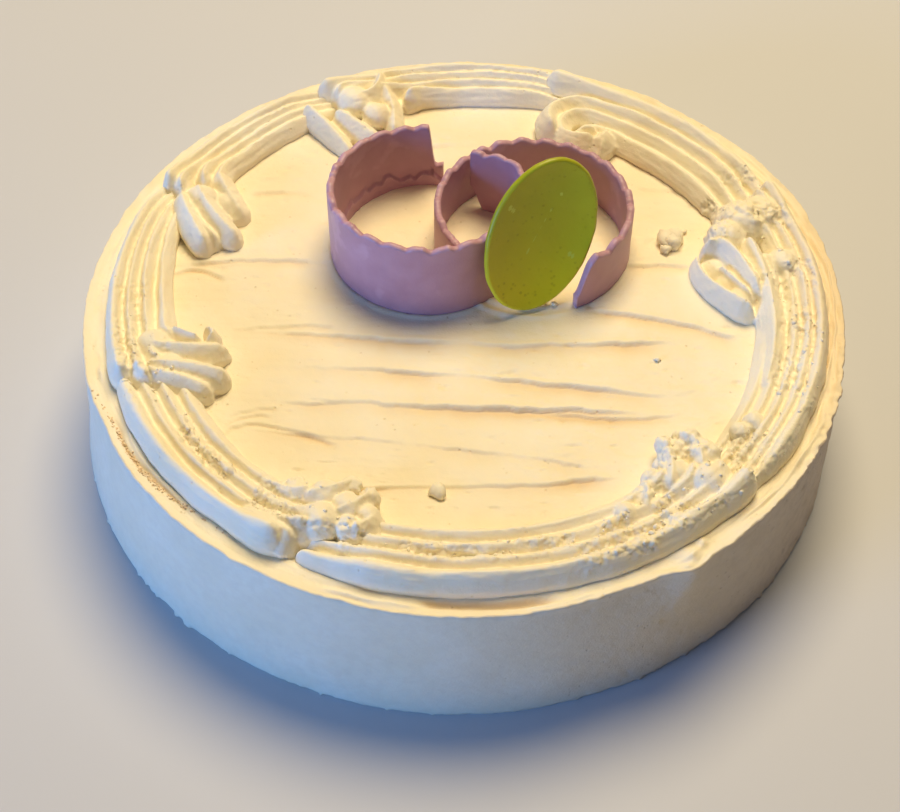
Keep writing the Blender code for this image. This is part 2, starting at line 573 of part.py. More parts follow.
# --- the chocolate curls ---------------------------------------------------------
def curl_mesh(name, centre, degrees, radius, low, high, ledge):
    """Upright strip on an arc. At each angle: a section with a ledge at the inside of the foot."""
    half = 0.5 * CURL_THICKNESS
    ledge_top = np.minimum(low + LEDGE_HEIGHT, high - LEDGE_CLEARANCE)
    inner_foot = radius - half - LEDGE_DEPTH * ledge
    section = (
        (radius + half, low),
        (radius + half, high - EDGE_CHAMFER),
        (radius + half - EDGE_CHAMFER, high),
        (radius - half + EDGE_CHAMFER, high),
        (radius - half, high - EDGE_CHAMFER),
        (radius - half, ledge_top),
        (inner_foot, ledge_top - LEDGE_BEVEL),
        (inner_foot, low),
    )
    angle = np.radians(degrees)
    rows = []
    for distance, height in section:
        row = (centre[0] + distance * np.cos(angle), centre[1] + distance * np.sin(angle), height)
        rows.append(np.stack(np.broadcast_arrays(*row), -1))
    points = np.stack(rows, 1).reshape(-1, 3)
    mesh = mesh_from(name, points, tube_faces(len(degrees), len(section)))
    bm = bmesh.new()
    bm.from_mesh(mesh)
    bmesh.ops.triangulate(bm, faces=bm.faces)
    bmesh.ops.recalc_face_normals(bm, faces=bm.faces)
    bm.to_mesh(mesh)
    bm.free()
    return mesh


def scallop(degrees, radius):
    """Wavy edge: rounded crests with tighter hollows between them."""
    distance = np.radians(degrees) * radius
    wave = np.abs(np.sin(math.pi * distance / SCALLOP_PITCH))
    return SCALLOP_DEPTH * (wave - SCALLOP_LEVEL)


def make_left_curl(parts, material):
    count = int(abs(LEFT_END - LEFT_START) / CURL_STEP_DEGREES) + 1
    degrees = np.linspace(LEFT_START, LEFT_END, count)
    tuck = smooth((degrees - TUCK_DEGREES) / (LEFT_START - TUCK_DEGREES))
    radius = CURL_RADIUS - FLAP_TUCK * tuck
    front = 0.5 - 0.5 * np.sin(np.radians(degrees))
    high = LEFT_TOP + LEFT_FRONT_RISE * front - FLAP_DROP * tuck + scallop(degrees, CURL_RADIUS)
    from_back = degrees - LEFT_END
    high = high - BACK_DROP * (1.0 - smooth((from_back - BACK_TAB_DEGREES) / BACK_STEP_DEGREES))
    flap_cut = smooth((degrees - FLAP_CUT_DEGREES) / (LEFT_START - FLAP_CUT_DEGREES))
    low = RIDGE_BASE + FLAP_CUT_RISE * flap_cut
    ledge = smooth(1.0 - (from_back - LEDGE_DEGREES) / LEDGE_FADE_DEGREES)
    mesh = curl_mesh("curl_left", LEFT_CENTRE, degrees, radius, low, high, ledge)
    return add_object("curl_left", mesh, parts, material)


def make_right_curl(parts, material):
    count = int(abs(RIGHT_END - RIGHT_START) / CURL_STEP_DEGREES) + 1
    degrees = np.linspace(RIGHT_START, RIGHT_END, count)
    radius = np.full_like(degrees, CURL_RADIUS)
    slant = smooth((degrees - RIGHT_START) / SLANT_DEGREES)
    high = RIGHT_TOP - SLANT_DROP * (1.0 - slant) + scallop(degrees, CURL_RADIUS)
    low = np.full_like(degrees, RIDGE_BASE)
    no_ledge = np.zeros_like(degrees)
    mesh = curl_mesh("curl_right", RIGHT_CENTRE, degrees, radius, low, high, no_ledge)
    return add_object("curl_right", mesh, parts, material)


# --- the dished oval ---------------------------------------------------------------
def make_oval(parts, material):
    """Shallow oval dish: a disc of rings pushed back at its middle, given its thickness."""
    bm = bmesh.new()
    middle = bm.verts.new((0.0, OVAL_DISH, 0.0))
    rings = []
    for i in range(1, OVAL_RINGS + 1):
        share = i / OVAL_RINGS
        ring = []
        for j in range(OVAL_SEGMENTS):
            angle = math.tau * j / OVAL_SEGMENTS
            across = OVAL_HALF_WIDTH * share * math.cos(angle)
            up = OVAL_HALF_LENGTH * share * math.sin(angle)
            ring.append(bm.verts.new((across, OVAL_DISH * (1.0 - share ** DISH_POWER), up)))
        rings.append(ring)
    for j in range(OVAL_SEGMENTS):
        following = (j + 1) % OVAL_SEGMENTS
        bm.faces.new((middle, rings[0][j], rings[0][following]))
        for inner, outer in zip(rings, rings[1:]):
            bm.faces.new((inner[j], outer[j], outer[following], inner[following]))
    mesh = bpy.data.meshes.new("green_oval")
    bm.to_mesh(mesh)
    bm.free()
    oval = add_object("green_oval", mesh, parts, material)
    thicken = oval.modifiers.new("thickness", "SOLIDIFY")
    thicken.thickness = OVAL_THICKNESS
    thicken.offset = 0.0
    lean = -math.radians(OVAL_LEAN)
    oval.rotation_mode = "YXZ"
    oval.rotation_euler = (lean, math.radians(OVAL_ROLL), math.radians(OVAL_YAW))
    oval.location = OVAL_CENTRE
    return oval


def main():
    clear_scene()
    parts = make_collection(NAME)
    cutters = make_collection("cutters")
    cream = make_material("cream")
    piped = make_material("piped_cream")
    lilac = make_material("lilac_chocolate")
    green = make_material("green_chocolate")
    make_body(parts, cutters, cream)
    for index in range(len(SWAGS)):
        make_swag(index, parts, cutters, piped)
    make_left_curl(parts, lilac)
    make_right_curl(parts, lilac)
    make_oval(parts, green)


main()
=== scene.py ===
import math

import bmesh
import bpy
import numpy as np
from mathutils import Euler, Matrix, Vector
from mathutils.bvhtree import BVHTree


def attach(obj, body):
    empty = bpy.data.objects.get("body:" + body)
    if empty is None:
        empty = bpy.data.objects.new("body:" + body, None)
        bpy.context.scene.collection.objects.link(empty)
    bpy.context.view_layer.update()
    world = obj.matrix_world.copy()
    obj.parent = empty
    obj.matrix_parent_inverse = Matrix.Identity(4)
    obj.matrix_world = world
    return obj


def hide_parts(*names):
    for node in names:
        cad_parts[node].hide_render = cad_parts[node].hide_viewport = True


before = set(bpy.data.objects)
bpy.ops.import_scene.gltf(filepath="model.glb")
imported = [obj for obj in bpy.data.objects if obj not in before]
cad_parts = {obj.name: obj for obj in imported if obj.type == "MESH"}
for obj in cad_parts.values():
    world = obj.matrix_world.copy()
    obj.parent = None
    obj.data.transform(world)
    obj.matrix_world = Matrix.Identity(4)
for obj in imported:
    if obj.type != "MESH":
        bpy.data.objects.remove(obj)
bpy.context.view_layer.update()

MM = 0.001
SCRAMBLE = (374761393, 668265263, 1274126177, 974634777)     # large odd factors for the noises

# --- cake body ---------------------------------------------------------------
RIM_RADIUS = 120.0 * MM
FOOT_RADIUS = 123.3 * MM
FOOT_OFFSET = (-2.7 * MM, 0.35 * MM)
RIM_HEIGHT = 47.0 * MM
TOP_HEIGHT = 44.0 * MM
BAND_WIDTH = 5.5 * MM
VALLEY_RADIUS = 112.9 * MM
LIP_RADIUS = RIM_RADIUS - 0.35 * MM
BAND_HEIGHT = 45.6 * MM              # of the band's inner edge
SKIN_LOW = 38.0 * MM                 # hidden undersides of the top and the band
SKIN_MIDDLE = 40.0 * MM
SIDE_LOW = 36.0 * MM                 # hidden inner end of the side's skin
SIDE_INNER = 90.0 * MM
RIM_DENTS = (                        # angle, half width in degrees, inward depth
    (291.0, 9.0, 1.5 * MM),
    (206.0, 4.0, 0.9 * MM),
    (301.0, 2.6, -1.8 * MM),
    (46.0, 8.0, 0.9 * MM),
    (352.0, 22.0, 1.7 * MM),
)
TOP_ROWS, TOP_COLUMNS = 405, 232     # rows run along x and lie closer together at the front
TOP_FRONT_SHARE = 0.28
SMEAR_PATCH = 19.0 * MM              # size of the patches of smears
WALL_COLUMNS, WALL_STEP = 1040, 0.56 * MM
BAND_COLUMNS, BAND_STEP = 1500, 0.3 * MM
STREAK_RADIUS = 15.0 * MM            # circles are shrunk to this radius, so noise on them runs long
FOOT_BURR_HEIGHT = 2.4 * MM
SIDE_ROUGH = (325.0, 55.0)           # angle and reach in degrees, as in the next two
LIP_RAGGED = (330.0, 30.0)
BAND_STREAKED = (352.0, 66.0)
SIDE_OUT = (119.3, 0.6)              # where it starts and over how far it grows, mm, as in the next
LIP_UP = (44.5, 2.0)
BAND_OUT, BAND_UP = (111.5, 2.0), (44.0, 1.0)
LIP_BACK, LIP_WIDTH = 0.5 * MM, 1.6 * MM

BAND_TEARS = (                       # angle and half width in degrees; radius, half width, height in mm
    (302.0, 1.6, 115.5, 2.2, 2.0),
    (300.2, 0.9, 118.6, 1.4, 1.5),
    (304.6, 0.8, 114.6, 1.5, 1.4),
    (326.0, 2.4, 117.0, 1.2, 0.9),
    (196.0, 1.5, 115.0, 1.0, 1.0),
)
# Start and length in degrees; radius, its growth over the length, height and half width in mm
BAND_FLAKES = (
    (249.0, 16.0, 116.9, -0.3, 1.1, 1.1),
    (256.0, 10.0, 118.2, 0.2, 0.5, 0.7),
    (277.0, 11.0, 117.6, 0.3, 0.9, 0.9),
    (262.0, 21.0, 114.8, 0.8, -1.5, 1.3),
    (203.0, 29.0, 117.3, -3.1, -0.6, 0.8),
    (206.0, 26.0, 113.6, 1.6, 0.5, 0.5),
    (333.0, 26.0, 114.6, 2.0, 0.8, 0.5),
    (342.0, 34.0, 116.6, 1.4, 0.9, 0.5),
    (4.0, 30.0, 113.8, 2.4, 0.8, 0.5),
    (352.0, 30.0, 115.2, -1.6, 0.7, 0.5),
    (310.0, 24.0, 116.0, 1.2, 0.8, 0.6),
)

# --- knife marks -------------------------------------------------------------
# x start, x end, y start, y end, bow toward the front, depth, run, all in mm
KNIFE_STEPS = (
    (-73.0, -50.0, 52.0, 52.0, 0.0, 0.7, 5.0),
    (58.0, 73.0, 54.0, 53.0, 0.0, 0.6, 5.0),
    (-92.0, -48.0, 17.0, 19.0, -1.5, 0.7, 6.0),
    (38.0, 86.0, -2.0, -15.0, -1.0, 0.8, 7.0),
    (-71.0, 71.0, -12.0, -18.0, 2.0, 0.8, 8.0),
    (-64.0, 65.0, -27.0, -40.0, -3.0, 0.75, 9.0),
    (-60.0, 59.0, -41.0, -46.0, -1.0, 1.0, 9.0),
    (-66.0, 38.0, -52.0, -67.0, -2.0, 0.6, 8.0),
    (-50.0, 46.0, -73.5, -70.0, 1.5, 1.1, 6.0),
    (-14.0, 6.0, 77.0, 77.0, 0.0, 0.6, 4.0),
    (-96.0, -77.0, 14.0, 10.0, -3.5, 0.6, 4.0),
    (-76.0, -40.0, -12.0, -10.0, -0.8, 0.6, 6.0),
    (-75.0, -57.0, -56.0, -51.0, -3.6, 0.8, 3.0),
    (-72.0, -56.0, -48.0, -43.0, -1.2, 0.6, 2.4),
    (-60.0, -38.0, -50.0, -57.0, -0.6, 0.5, 3.0),
    (-73.0, -58.0, -51.5, -46.5, -2.4, 0.5, 2.0),
    (50.0, 74.0, 17.5, 17.0, -0.4, 0.6, 5.0),
    (22.0, 64.0, -45.0, -47.0, 1.0, 0.6, 5.0),
)

KNIFE_DEPTH = 1.5                    # every step's depth is multiplied by this
KNIFE_EDGE = 0.3 * MM
KNIFE_FRONT = 0.7 * MM
KNIFE_FALL_POWER = 0.6
KNIFE_BEAD, KNIFE_BEAD_BACK = 0.24, 0.9 * MM
KNIFE_END = 0.16                     # share of a step's length over which it fades at each end
KNIFE_PATCH = 17.0 * MM
KNIFE_SHADE_DEPTH = 1.1 * MM                # depth from which a mark has its full painted shade
COLLAR_HEIGHT, COLLAR_OUT, COLLAR_WIDTH = 0.55 * MM, 1.9 * MM, 0.8 * MM

# --- unevenness ----------------------------------------------------------------
# Noises: height and size in mm, octaves, seed, and the share of height that each octave keeps,
# where it isn't 0.55
TOP_WAVES = (0.28, 38.0, 2, 3)
TOP_STREAKS = (0.10, 2.6, 2, 9)
TOP_GRAIN = (0.10, 5.0, 3, 21)
TOP_SMEARS = (0.13, 1.8, 2, 27)
KNIFE_WANDER = (0.9, 16.0, 2, 5)
KNIFE_TORN = (0.28, 2.6, 2, 6)
SIDE_WAVES = (0.30, 26.0, 2, 51)
SIDE_GRAIN = (0.20, 4.5, 3, 57, 0.6)
FOOT_BURR = (1.0, 3.4, 3, 67, 0.6)
LIP_WAVES = (0.28, 11.0, 3, 71, 0.6)
LIP_CHIPS = (0.35, 3.0, 2, 75)
LIP_CRUMBLE = (0.26, 5.0, 3, 73, 0.65)
BAND_GRAIN = (0.10, 3.6, 3, 79, 0.6)
BAND_STREAKS = (1.0, 1.7, 2, 83)
FLAKE_WANDER = (0.5, 1.6, 2, 87)
RIDGE_GRAIN = (0.07, 3.0, 3, 201)
RIDGE_STREAKS = (0.15, 1.5, 2, 215)
TORN_PEAKS = (1.0, 2.6, 2, 207)
TORN_LUMPS = (0.5, 3.4, 2, 223)
TORN_CRUMBLE = (0.5, 1.4, 3, 219, 0.65)
OVAL_RIPPLE = (0.10, 6.0, 3, 401)
OVAL_WEAR = (0.006, 4.0, 2, 405)
CURL_CHIPS = (0.48, 2.6, 2)          # the curls' own seeds are added
CURL_RIPPLE = (0.10, 9.0, 3)
LEDGE_TEAR = (1.6, 5.0, 3)
# Pits: depth and size in mm, seed, and the share of the surface near them
TOP_PITS = (0.45, 1.5, 31, 0.17)
TOP_BLOBS = (0.22, 4.6, 33, 0.1)
SIDE_PITS = (0.5, 2.8, 61, 0.2)
TORN_PITS = (0.45, 2.6, 211, 0.2)

# --- piped border --------------------------------------------------------------
BORDER_OUTER = 112.6 * MM
RIDGE_BASE = TOP_HEIGHT + 0.3 * MM
RIDGE_TOP = 53.2 * MM
RIDGE_FALL = 0.9 * MM
RIDGE_OVERLAP = 0.68
RIDGE_DEPTH = 2.4 * MM
CREST_POWER = 1.3
OUTER_CREST_POWER = 1.9
FLANK_POWER = 0.45
NOSE_LENGTH = 5.5 * MM
TIP_LENGTH = 5.0 * MM
NOSE_SWELL = 0.14
SWELL_BACK = 8.0 * MM
SWELL_LENGTH = 5.0 * MM
END_CREST = 0.15
FOLD_CREST = 0.35
HEAD_LENGTH = 22.0 * MM
TAIL_LENGTH = 24.0 * MM
TAIL_WIDTH = 0.62
FOLD_END = 4.0 * MM
RIDGE_LEAST_WIDTH = 4.4 * MM
HEAD_RISE, HEAD_WIDENING = 3.0 * MM, 0.1
WIDTH_WAVER, WIDTH_WAVE = 0.08, 9.0 * MM
CREST_WAVER, CREST_WAVE = 0.4 * MM, 13.0 * MM
PATH_POINTS = 40
RING_SIDES = 28
PATH_STEP = 0.8 * MM
BORDER_VOXEL = 0.5 * MM
TORN_PATCH = 8.0 * MM                # size of the patches in which torn cream is smooth
# Each swag runs from the angle of its tail to its head. A ridge: angle where it leaves the arc, turn
# in degrees, bend radius and straight end in mm. A lump: angle, distance, radius and top. A fold:
# angle and distance of three places, then the three half widths and the three heights.
SWAGS = (
    dict(tail=20.0, tail_inner=90.5, head_inner=90.0,
         ridges=((72.0, 8, 20, 3), (64.0, 150, 11.5, 1), (63.0, 235, 8, 1), (60.0, 330, 4.4, 0)),
         lumps=(),
         folds=((63, 82, 62, 88, 58.5, 89.5, 2.6, 2.6, 2.2, 51.0, 52.5, 52.0),
                (59, 88.5, 56.5, 85.5, 55.5, 80, 2.2, 2.4, 1.8, 52.5, 52.0, 49.5))),
    dict(tail=-46.0, tail_inner=94.0, head_inner=92.0,
         ridges=((24.0, 5, 20, 3), (22.0, 20, 12, 3), (14.0, 60, 10, 5), (6.0, 35, 8, 3), (1.0, 20, 12, 2)),
         lumps=((20.0, 103.0, 8.5, 55.0), (19.5, 95.5, 9.0, 56.0), (16.0, 88.0, 7.0, 55.0),
                (7.0, 102.0, 6.0, 53.8), (9.0, 80.5, 5.0, 49.4), (4.5, 85.0, 5.5, 49.8),
                (359.5, 87.0, 4.6, 50.4)),
         folds=((12.5, 76, 3.5, 77, 354.5, 90.5, 1.8, 2.4, 3.6, 51.5, 51.2, 53.2),
                (12.5, 78, 11, 86, 357, 92.5, 2.6, 3.6, 3.6, 54.0, 55.0, 53.8),
                (8, 81.5, 4, 84, 357, 90.5, 1.2, 1.6, 1.8, 51.2, 51.8, 52.6),
                (14, 93, 354, 95.5, 335, 97.5, 3.6, 4.0, 2.0, 55.0, 53.4, 51.0))),
    dict(tail=244.0, tail_inner=92.0, head_inner=91.5,
         ridges=((314.0, 10, 20, 5), (311.0, 45, 10, 4), (308.0, 45, 8, 4), (304.0, 40, 8, 3)),
         lumps=((312.0, 102.0, 5.5, 55.0), (315.5, 95.0, 5.0, 54.5), (309.0, 94.0, 5.0, 53.5),
                (316.0, 86.5, 3.2, 51.5), (312.0, 85.0, 3.0, 52.6), (316.5, 88.5, 3.2, 53.6),
                (305.0, 91.0, 3.2, 52.0), (324.5, 97.5, 3.2, 51.4), (327.5, 99.5, 3.8, 51.8),
                (297.0, 97.5, 3.2, 52.4), (313.4, 88.6, 4.8, 52.4)),
         folds=((305, 98, 309, 92, 311.5, 84.5, 4.2, 4.0, 2.8, 53.5, 54.0, 52.5),
                (311, 100, 315, 94, 316.5, 87, 4.2, 3.8, 2.8, 54.0, 54.5, 53.0),
                (299, 100, 302, 95, 303, 89.5, 3.0, 3.0, 2.4, 52.5, 52.5, 50.5),
                (300, 106, 307, 109, 314, 108, 3.0, 3.6, 3.0, 52.5, 54.0, 53.0))),
    dict(tail=194.0, tail_inner=91.5, head_inner=92.5,
         ridges=((241.0, 4, 20, 2), (240.0, 40, 12, 3), (240.0, 45, 9, 5), (237.0, 45, 7, 5)),
         lumps=((245.5, 99.0, 6.0, 55.0), (248.5, 92.0, 5.0, 54.0), (243.5, 90.0, 5.0, 53.5),
                (238.0, 92.0, 4.0, 52.0), (246.8, 84.0, 3.2, 52.0), (251.3, 86.5, 3.2, 52.2),
                (252.5, 92.5, 3.4, 52.8), (250.0, 98.0, 3.4, 53.4)),
         folds=((240, 95, 245, 88, 247, 81.5, 4.2, 4.0, 2.8, 53.5, 53.8, 51.0),
                (246, 98, 250, 91, 251, 83.5, 3.6, 3.8, 2.8, 53.5, 54.0, 51.5),
                (249, 102, 253, 96, 253.5, 89.5, 3.2, 3.6, 2.8, 52.5, 53.2, 50.5),
                (233, 107.5, 239, 107.5, 244, 107.5, 4.0, 5.2, 4.8, 53.2, 54.4, 52.6))),
    dict(tail=150.0, tail_inner=102.0, head_inner=92.0,
         ridges=((198.5, 6, 20, 3), (198.5, 40, 10, 2), (195.5, 45, 8, 3), (190.0, 45, 6, 3)),
         lumps=((193.5, 98.0, 6.5, 53.5), (199.0, 95.0, 4.5, 52.5)),
         folds=((190.5, 93.5, 193.5, 88, 196, 83.5, 2.2, 2.4, 2.4, 54.0, 53.8, 54.2),
                (196, 84, 194.5, 80, 191, 83, 2.2, 2.4, 2.0, 54.2, 53.2, 54.2),
                (193.5, 101, 197, 89, 198, 76, 4.0, 4.6, 2.6, 53.0, 53.8, 50.8),
                (198, 103, 202, 90, 206.5, 79.5, 3.8, 4.9, 3.8, 53.2, 53.8, 51.4),
                (199, 107, 203.5, 94.5, 208.5, 86.5, 3.4, 4.0, 3.6, 53.2, 53.2, 50.4))),
    dict(tail=114.0, tail_inner=102.5, head_inner=99.0,
         ridges=((151.0, 15, 15, 5), (150.0, 40, 12, 3), (146.0, 45, 9, 4), (142.5, 40, 12, 4)),
         lumps=((154.0, 97.5, 6.0, 54.0), (152.0, 90.0, 5.0, 51.5)),
         folds=((146, 101, 150.5, 90, 153.8, 81, 3.8, 4.4, 3.4, 53.0, 52.5, 49.5),
                (151.5, 102, 157.5, 89.5, 161, 77.5, 4.2, 4.8, 3.4, 54.0, 54.2, 50.0),
                (154.5, 105, 161, 94.5, 166, 86, 4.2, 4.6, 3.4, 53.5, 54.4, 51.0),
                (158, 99, 161.5, 90, 163.2, 83.5, 2.4, 2.8, 2.2, 53.5, 52.4, 50.0))),
    dict(tail=66.0, tail_inner=102.0, head_inner=99.0,
         ridges=((116.0, 8, 20, 2), (112.0, 40, 9, 3), (105.0, 40, 10, 3), (98.0, 40, 10, 3)),
         lumps=((112.5, 101.0, 6.5, 55.0), (109.5, 93.0, 5.0, 53.0)),
         folds=((122, 107, 120.5, 94, 119, 78.5, 3.0, 3.8, 2.6, 52.8, 51.4, 47.8),
                (117.5, 99, 114.7, 89, 110.5, 80.5, 3.8, 4.6, 3.4, 53.4, 52.0, 48.8),
                (107, 110, 105.5, 96, 107.5, 83, 3.4, 3.8, 2.8, 53.6, 52.0, 48.4),
                (105.5, 112, 109, 101, 116, 103.5, 3.2, 3.6, 3.2, 55.0, 54.8, 55.2))),
)
TORN_EDGE = (5.0, 3.0)               # fading at the borders of a torn place, degrees and mm
# Where the cream is torn and crumbly: start and end angle, inner and outer radius in mm, strength
TORN = (
    (196.0, 268.0, 97.0, 104.0, 1.0),
    (262.0, 335.0, 97.0, 104.5, 0.9),
    (286.0, 319.0, 104.0, 111.5, 0.9),
    (300.0, 322.0, 78.0, 106.0, 1.0),
    (232.0, 253.0, 76.0, 106.0, 1.0),
    (335.0, 392.0, 98.0, 110.0, 0.85),
    (13.0, 31.0, 80.0, 108.0, 1.0),
    (0.0, 13.0, 90.0, 108.0, 0.7),
    (192.0, 208.0, 94.0, 110.0, 0.8),
    (176.0, 204.0, 100.0, 110.0, 0.6),
    (318.0, 352.0, 104.0, 113.0, 0.5),
)

# Loose bits of cream: place, size, how many and how far they spread, in mm
BITS = (
    (68.4, 29.0, 45.6, 4.2, 1, 0.0),
    (67.0, 26.8, 45.4, 3.2, 2, 0.7),
    (65.8, 23.6, 45.0, 1.6, 3, 1.0),
    (71.2, 32.6, 45.0, 1.5, 2, 0.8),
    (-9.4, -75.6, 44.7, 2.6, 1, 0.0),
    (61.8, -89.8, 51.6, 1.2, 3, 1.0),
    (52.0, -95.4, 51.4, 1.0, 3, 1.2),
    (74.0, -80.2, 51.6, 1.2, 3, 1.2),
    (19.0, -2.4, 44.6, 1.0, 6, 1.5),
    (24.5, 0.3, 44.6, 1.1, 6, 1.6),
    (52.8, 31.0, 59.5, 0.8, 2, 0.3),
    (59.0, -24.0, 44.3, 0.7, 2, 0.6),
)
CRUMBS_PER_DEGREE = 1.3
CRUMB_PLANES, CRUMB_CUT = 9, 0.7     # the cuts lie at this share of the ball's radius
CRUMB_SQUASH = 0.8
SPONGE_CRUMBS = 190
SPONGE_ANGLE, SPONGE_SPREAD = 216.0, 6.0
SPONGE_START, SPONGE_RADIUS, SPONGE_DRIFT = 204.0, 117.2, -0.107      # degrees, mm, mm per degree

# --- chocolate curls ---------------------------------------------------------
CURL_THICKNESS = 2.4 * MM
CURL_RADIUS = 30.8 * MM
SCALLOP_PITCH = 7.8 * MM
SCALLOP_DEPTH = 1.1 * MM
CURL_EDGE = 0.9 * MM                 # height of the rounded upper edge
CURL_EDGE_POINTS, CURL_SIDE_POINTS = 7, 44
LEFT_ROWS, RIGHT_ROWS = 380, 340
CURL_SUNK = 1.0 * MM
LEFT_CENTRE = (-12.2 * MM, 27.0 * MM)
LEFT_START, LEFT_END = 54.0, -279.0
LEFT_TOP = 68.6 * MM
LEFT_FRONT_RISE = 3.0 * MM
FLAP_TUCK, FLAP_DIP, FLAP_LIFT = 6.2 * MM, 1.5 * MM, 10.0 * MM
FLAP_ANGLE, FLAP_LIFT_ANGLE = 14.0, 40.0
LEFT_BACK_STEP = 15.5 * MM
LEDGE_HEIGHT = 6.0 * MM
LEDGE_DEPTH, LEDGE_SLOPE = 1.0 * MM, 0.7 * MM
LEDGE_END, LEDGE_FADE = 95.0, 25.0   # degrees from the end at the back
RIGHT_CENTRE = (21.7 * MM, 27.0 * MM)
RIGHT_START, RIGHT_END = -66.0, 227.0
RIGHT_TOP = 62.6 * MM
RIGHT_SLANT, RIGHT_SLANT_ANGLE = 14.0 * MM, 9.0

# --- dished oval ---------------------------------------------------------------
OVAL_CENTRE = (22.8 * MM, 4.1 * MM, 69.6 * MM)
OVAL_HALF_LENGTH = 26.2 * MM
OVAL_HALF_WIDTH = 17.9 * MM
OVAL_THICKNESS = 2.3 * MM
OVAL_DISH, OVAL_DISH_POWER = 3.4 * MM, 2.4
OVAL_RIM = 1.0 * MM
OVAL_RINGS, OVAL_SPOKES = 60, 200
OVAL_YAW, OVAL_LEAN, OVAL_ROLL = 20.0, 13.5, 19.5

# --- light and camera ------------------------------------------------------------
LIGHTS = (                           # name, place, what it faces, width, energy, colour
    ("warm_overhead", (0.12, 0.52, 1.25), (0.0, 0.0, 0.04), 0.8, 19.3, (1.0, 0.80, 0.48)),
    ("cool_window", (-1.20, -0.80, 0.28), (0.0, 0.0, 0.03), 0.7, 16.5, (0.16, 0.42, 1.0)),
)
SKY_COLOUR, SKY_STRENGTH = (0.85, 0.88, 1.0, 1.0), 0.07
CAMERA_PLACE, CAMERA_TILT = (-0.0051, -0.3553, 0.4078), 40.66
CAMERA_LENS, CAMERA_SENSOR = 64.0, 36.0
FLOOR_SIZE = 6.0


# --- numbers -------------------------------------------------------------------
def smooth(t):
    """0 to 1 with a soft start and end: t * t * (3 - 2t), held outside 0..1."""
    t = np.clip(t, 0.0, 1.0)
    return t * t * (3.0 - 2.0 * t)


def bump(distance, width):
    """Bell: 1 at distance 0, falling with the square of distance over width."""
    return np.exp(-(distance / width) ** 2)


def turn_apart(degrees, centre):
    """Signed angle from a centre, wrapped to -180..180 degrees."""
    return (degrees - centre + 180.0) % 360.0 - 180.0


def lattice(i, j, k, seed):
    """A number in 0..1 for each whole-number point: its three indices and the seed, scrambled."""
    mask = 0xFFFFFFFF
    n = sum(value * factor for value, factor in zip((i, j, k, seed), SCRAMBLE)) & mask
    n = ((n ^ (n >> 13)) * SCRAMBLE[2]) & mask
    n = ((n ^ (n >> 16)) * SCRAMBLE[1]) & mask
    return ((n ^ (n >> 15)) & 0xFFFFFF) / float(0xFFFFFF)


def noise(points, size, seed):
    """Smooth noise from -1 to 1: lattice numbers blended between the eight corners of a cell."""
    p = points / size
    base = np.floor(p).astype(np.int64)
    f = p - base
    f = f * f * f * (f * (f * 6.0 - 15.0) + 10.0)
    total = np.zeros(points.shape[:-1])
    for corner in range(8):
        step = (corner & 1, corner >> 1 & 1, corner >> 2 & 1)
        weight = 1.0
        for axis in range(3):
            weight = weight * (f[..., axis] if step[axis] else 1.0 - f[..., axis])
        i, j, k = (base[..., axis] + step[axis] for axis in range(3))
        total = total + weight * lattice(i, j, k, seed)
    return 2.0 * total - 1.0


def fractal(points, size, octaves, seed, keep=0.55):
    """Noise at a size, plus noise at half the size and less height, and so on."""
    total = np.zeros(points.shape[:-1])
    height = 1.0
    for octave in range(octaves):
        total = total + height * noise(points, size, seed + 17 * octave)
        size = size * 0.5
        height = height * keep
    return total


def pits(points, size, seed, share):
    """0..1 hollows: only the highest share of a noise, so they stand apart from one another."""
    return smooth((noise(points, size, seed) - (1.0 - share)) / (0.6 * share))


def relief(points, height, size, octaves, seed, keep=0.55):
    """Unevenness in metres: a height times a fractal of a size, both given in mm."""
    return height * MM * fractal(points, size * MM, octaves, seed, keep)


def pitted(points, depth, size, seed, share):
    """How deep the pits are at each point, in metres; depth and size in mm."""
    return depth * MM * pits(points, size * MM, seed, share)


def past(value, start, reach):
    """0 up to a start, 1 from a reach beyond it, soft between; start and reach in mm."""
    return smooth((value - start * MM) / (reach * MM))


def near(degrees, centre, reach):
    """1 at an angle, falling softly to 0 at a reach from it."""
    return smooth(1.0 - np.abs(turn_apart(degrees, centre)) / reach)


def places(x, y, z=0.0):
    """Points from their x, y and z, each an array or a number that all the points share."""
    return np.stack(np.broadcast_arrays(x, y, z), -1)


def polar(radius, degrees):
    """x and y of a distance from the axis and an angle."""
    angle = np.radians(degrees)
    return radius * np.cos(angle), radius * np.sin(angle)


# --- meshes --------------------------------------------------------------------
def grid_quads(rows, columns, wrap_rows=False, wrap_columns=False):
    """Corner numbers of the quads of a grid of points that is numbered row by row."""
    i = np.arange(rows if wrap_rows else rows - 1)
    j = np.arange(columns if wrap_columns else columns - 1)
    i, j = (a.ravel() for a in np.meshgrid(i, j, indexing="ij"))
    down, right = (i + 1) % rows, (j + 1) % columns
    corners = (i * columns + j, i * columns + right, down * columns + right, down * columns + j)
    return np.stack(corners, -1)


def fan(first, count, middle):
    """Triangles from a closed ring of points, numbered from first, to one middle point."""
    ring = first + np.arange(count)
    return np.stack([ring, np.roll(ring, -1), np.full(count, middle)], -1).tolist()


def with_poles(rings, poles):
    """Points and faces of rings one inside the next, closed by a fan to a pole at each end."""
    rows, columns = rings.shape[:2]
    faces = grid_quads(rows, columns, wrap_columns=True).tolist()
    faces.extend(fan(0, columns, rows * columns))
    faces.extend(fan((rows - 1) * columns, columns, rows * columns + 1))
    return np.concatenate([rings.reshape(-1, 3), poles]), faces


def tube_faces(rings, sides):
    """Faces of a tube of rings, with one flat face over each end."""
    faces = [tuple(range(sides)), tuple(range(rings * sides - 1, (rings - 1) * sides - 1, -1))]
    faces.extend(map(tuple, grid_quads(rings, sides, wrap_columns=True)[:, ::-1].tolist()))
    return faces


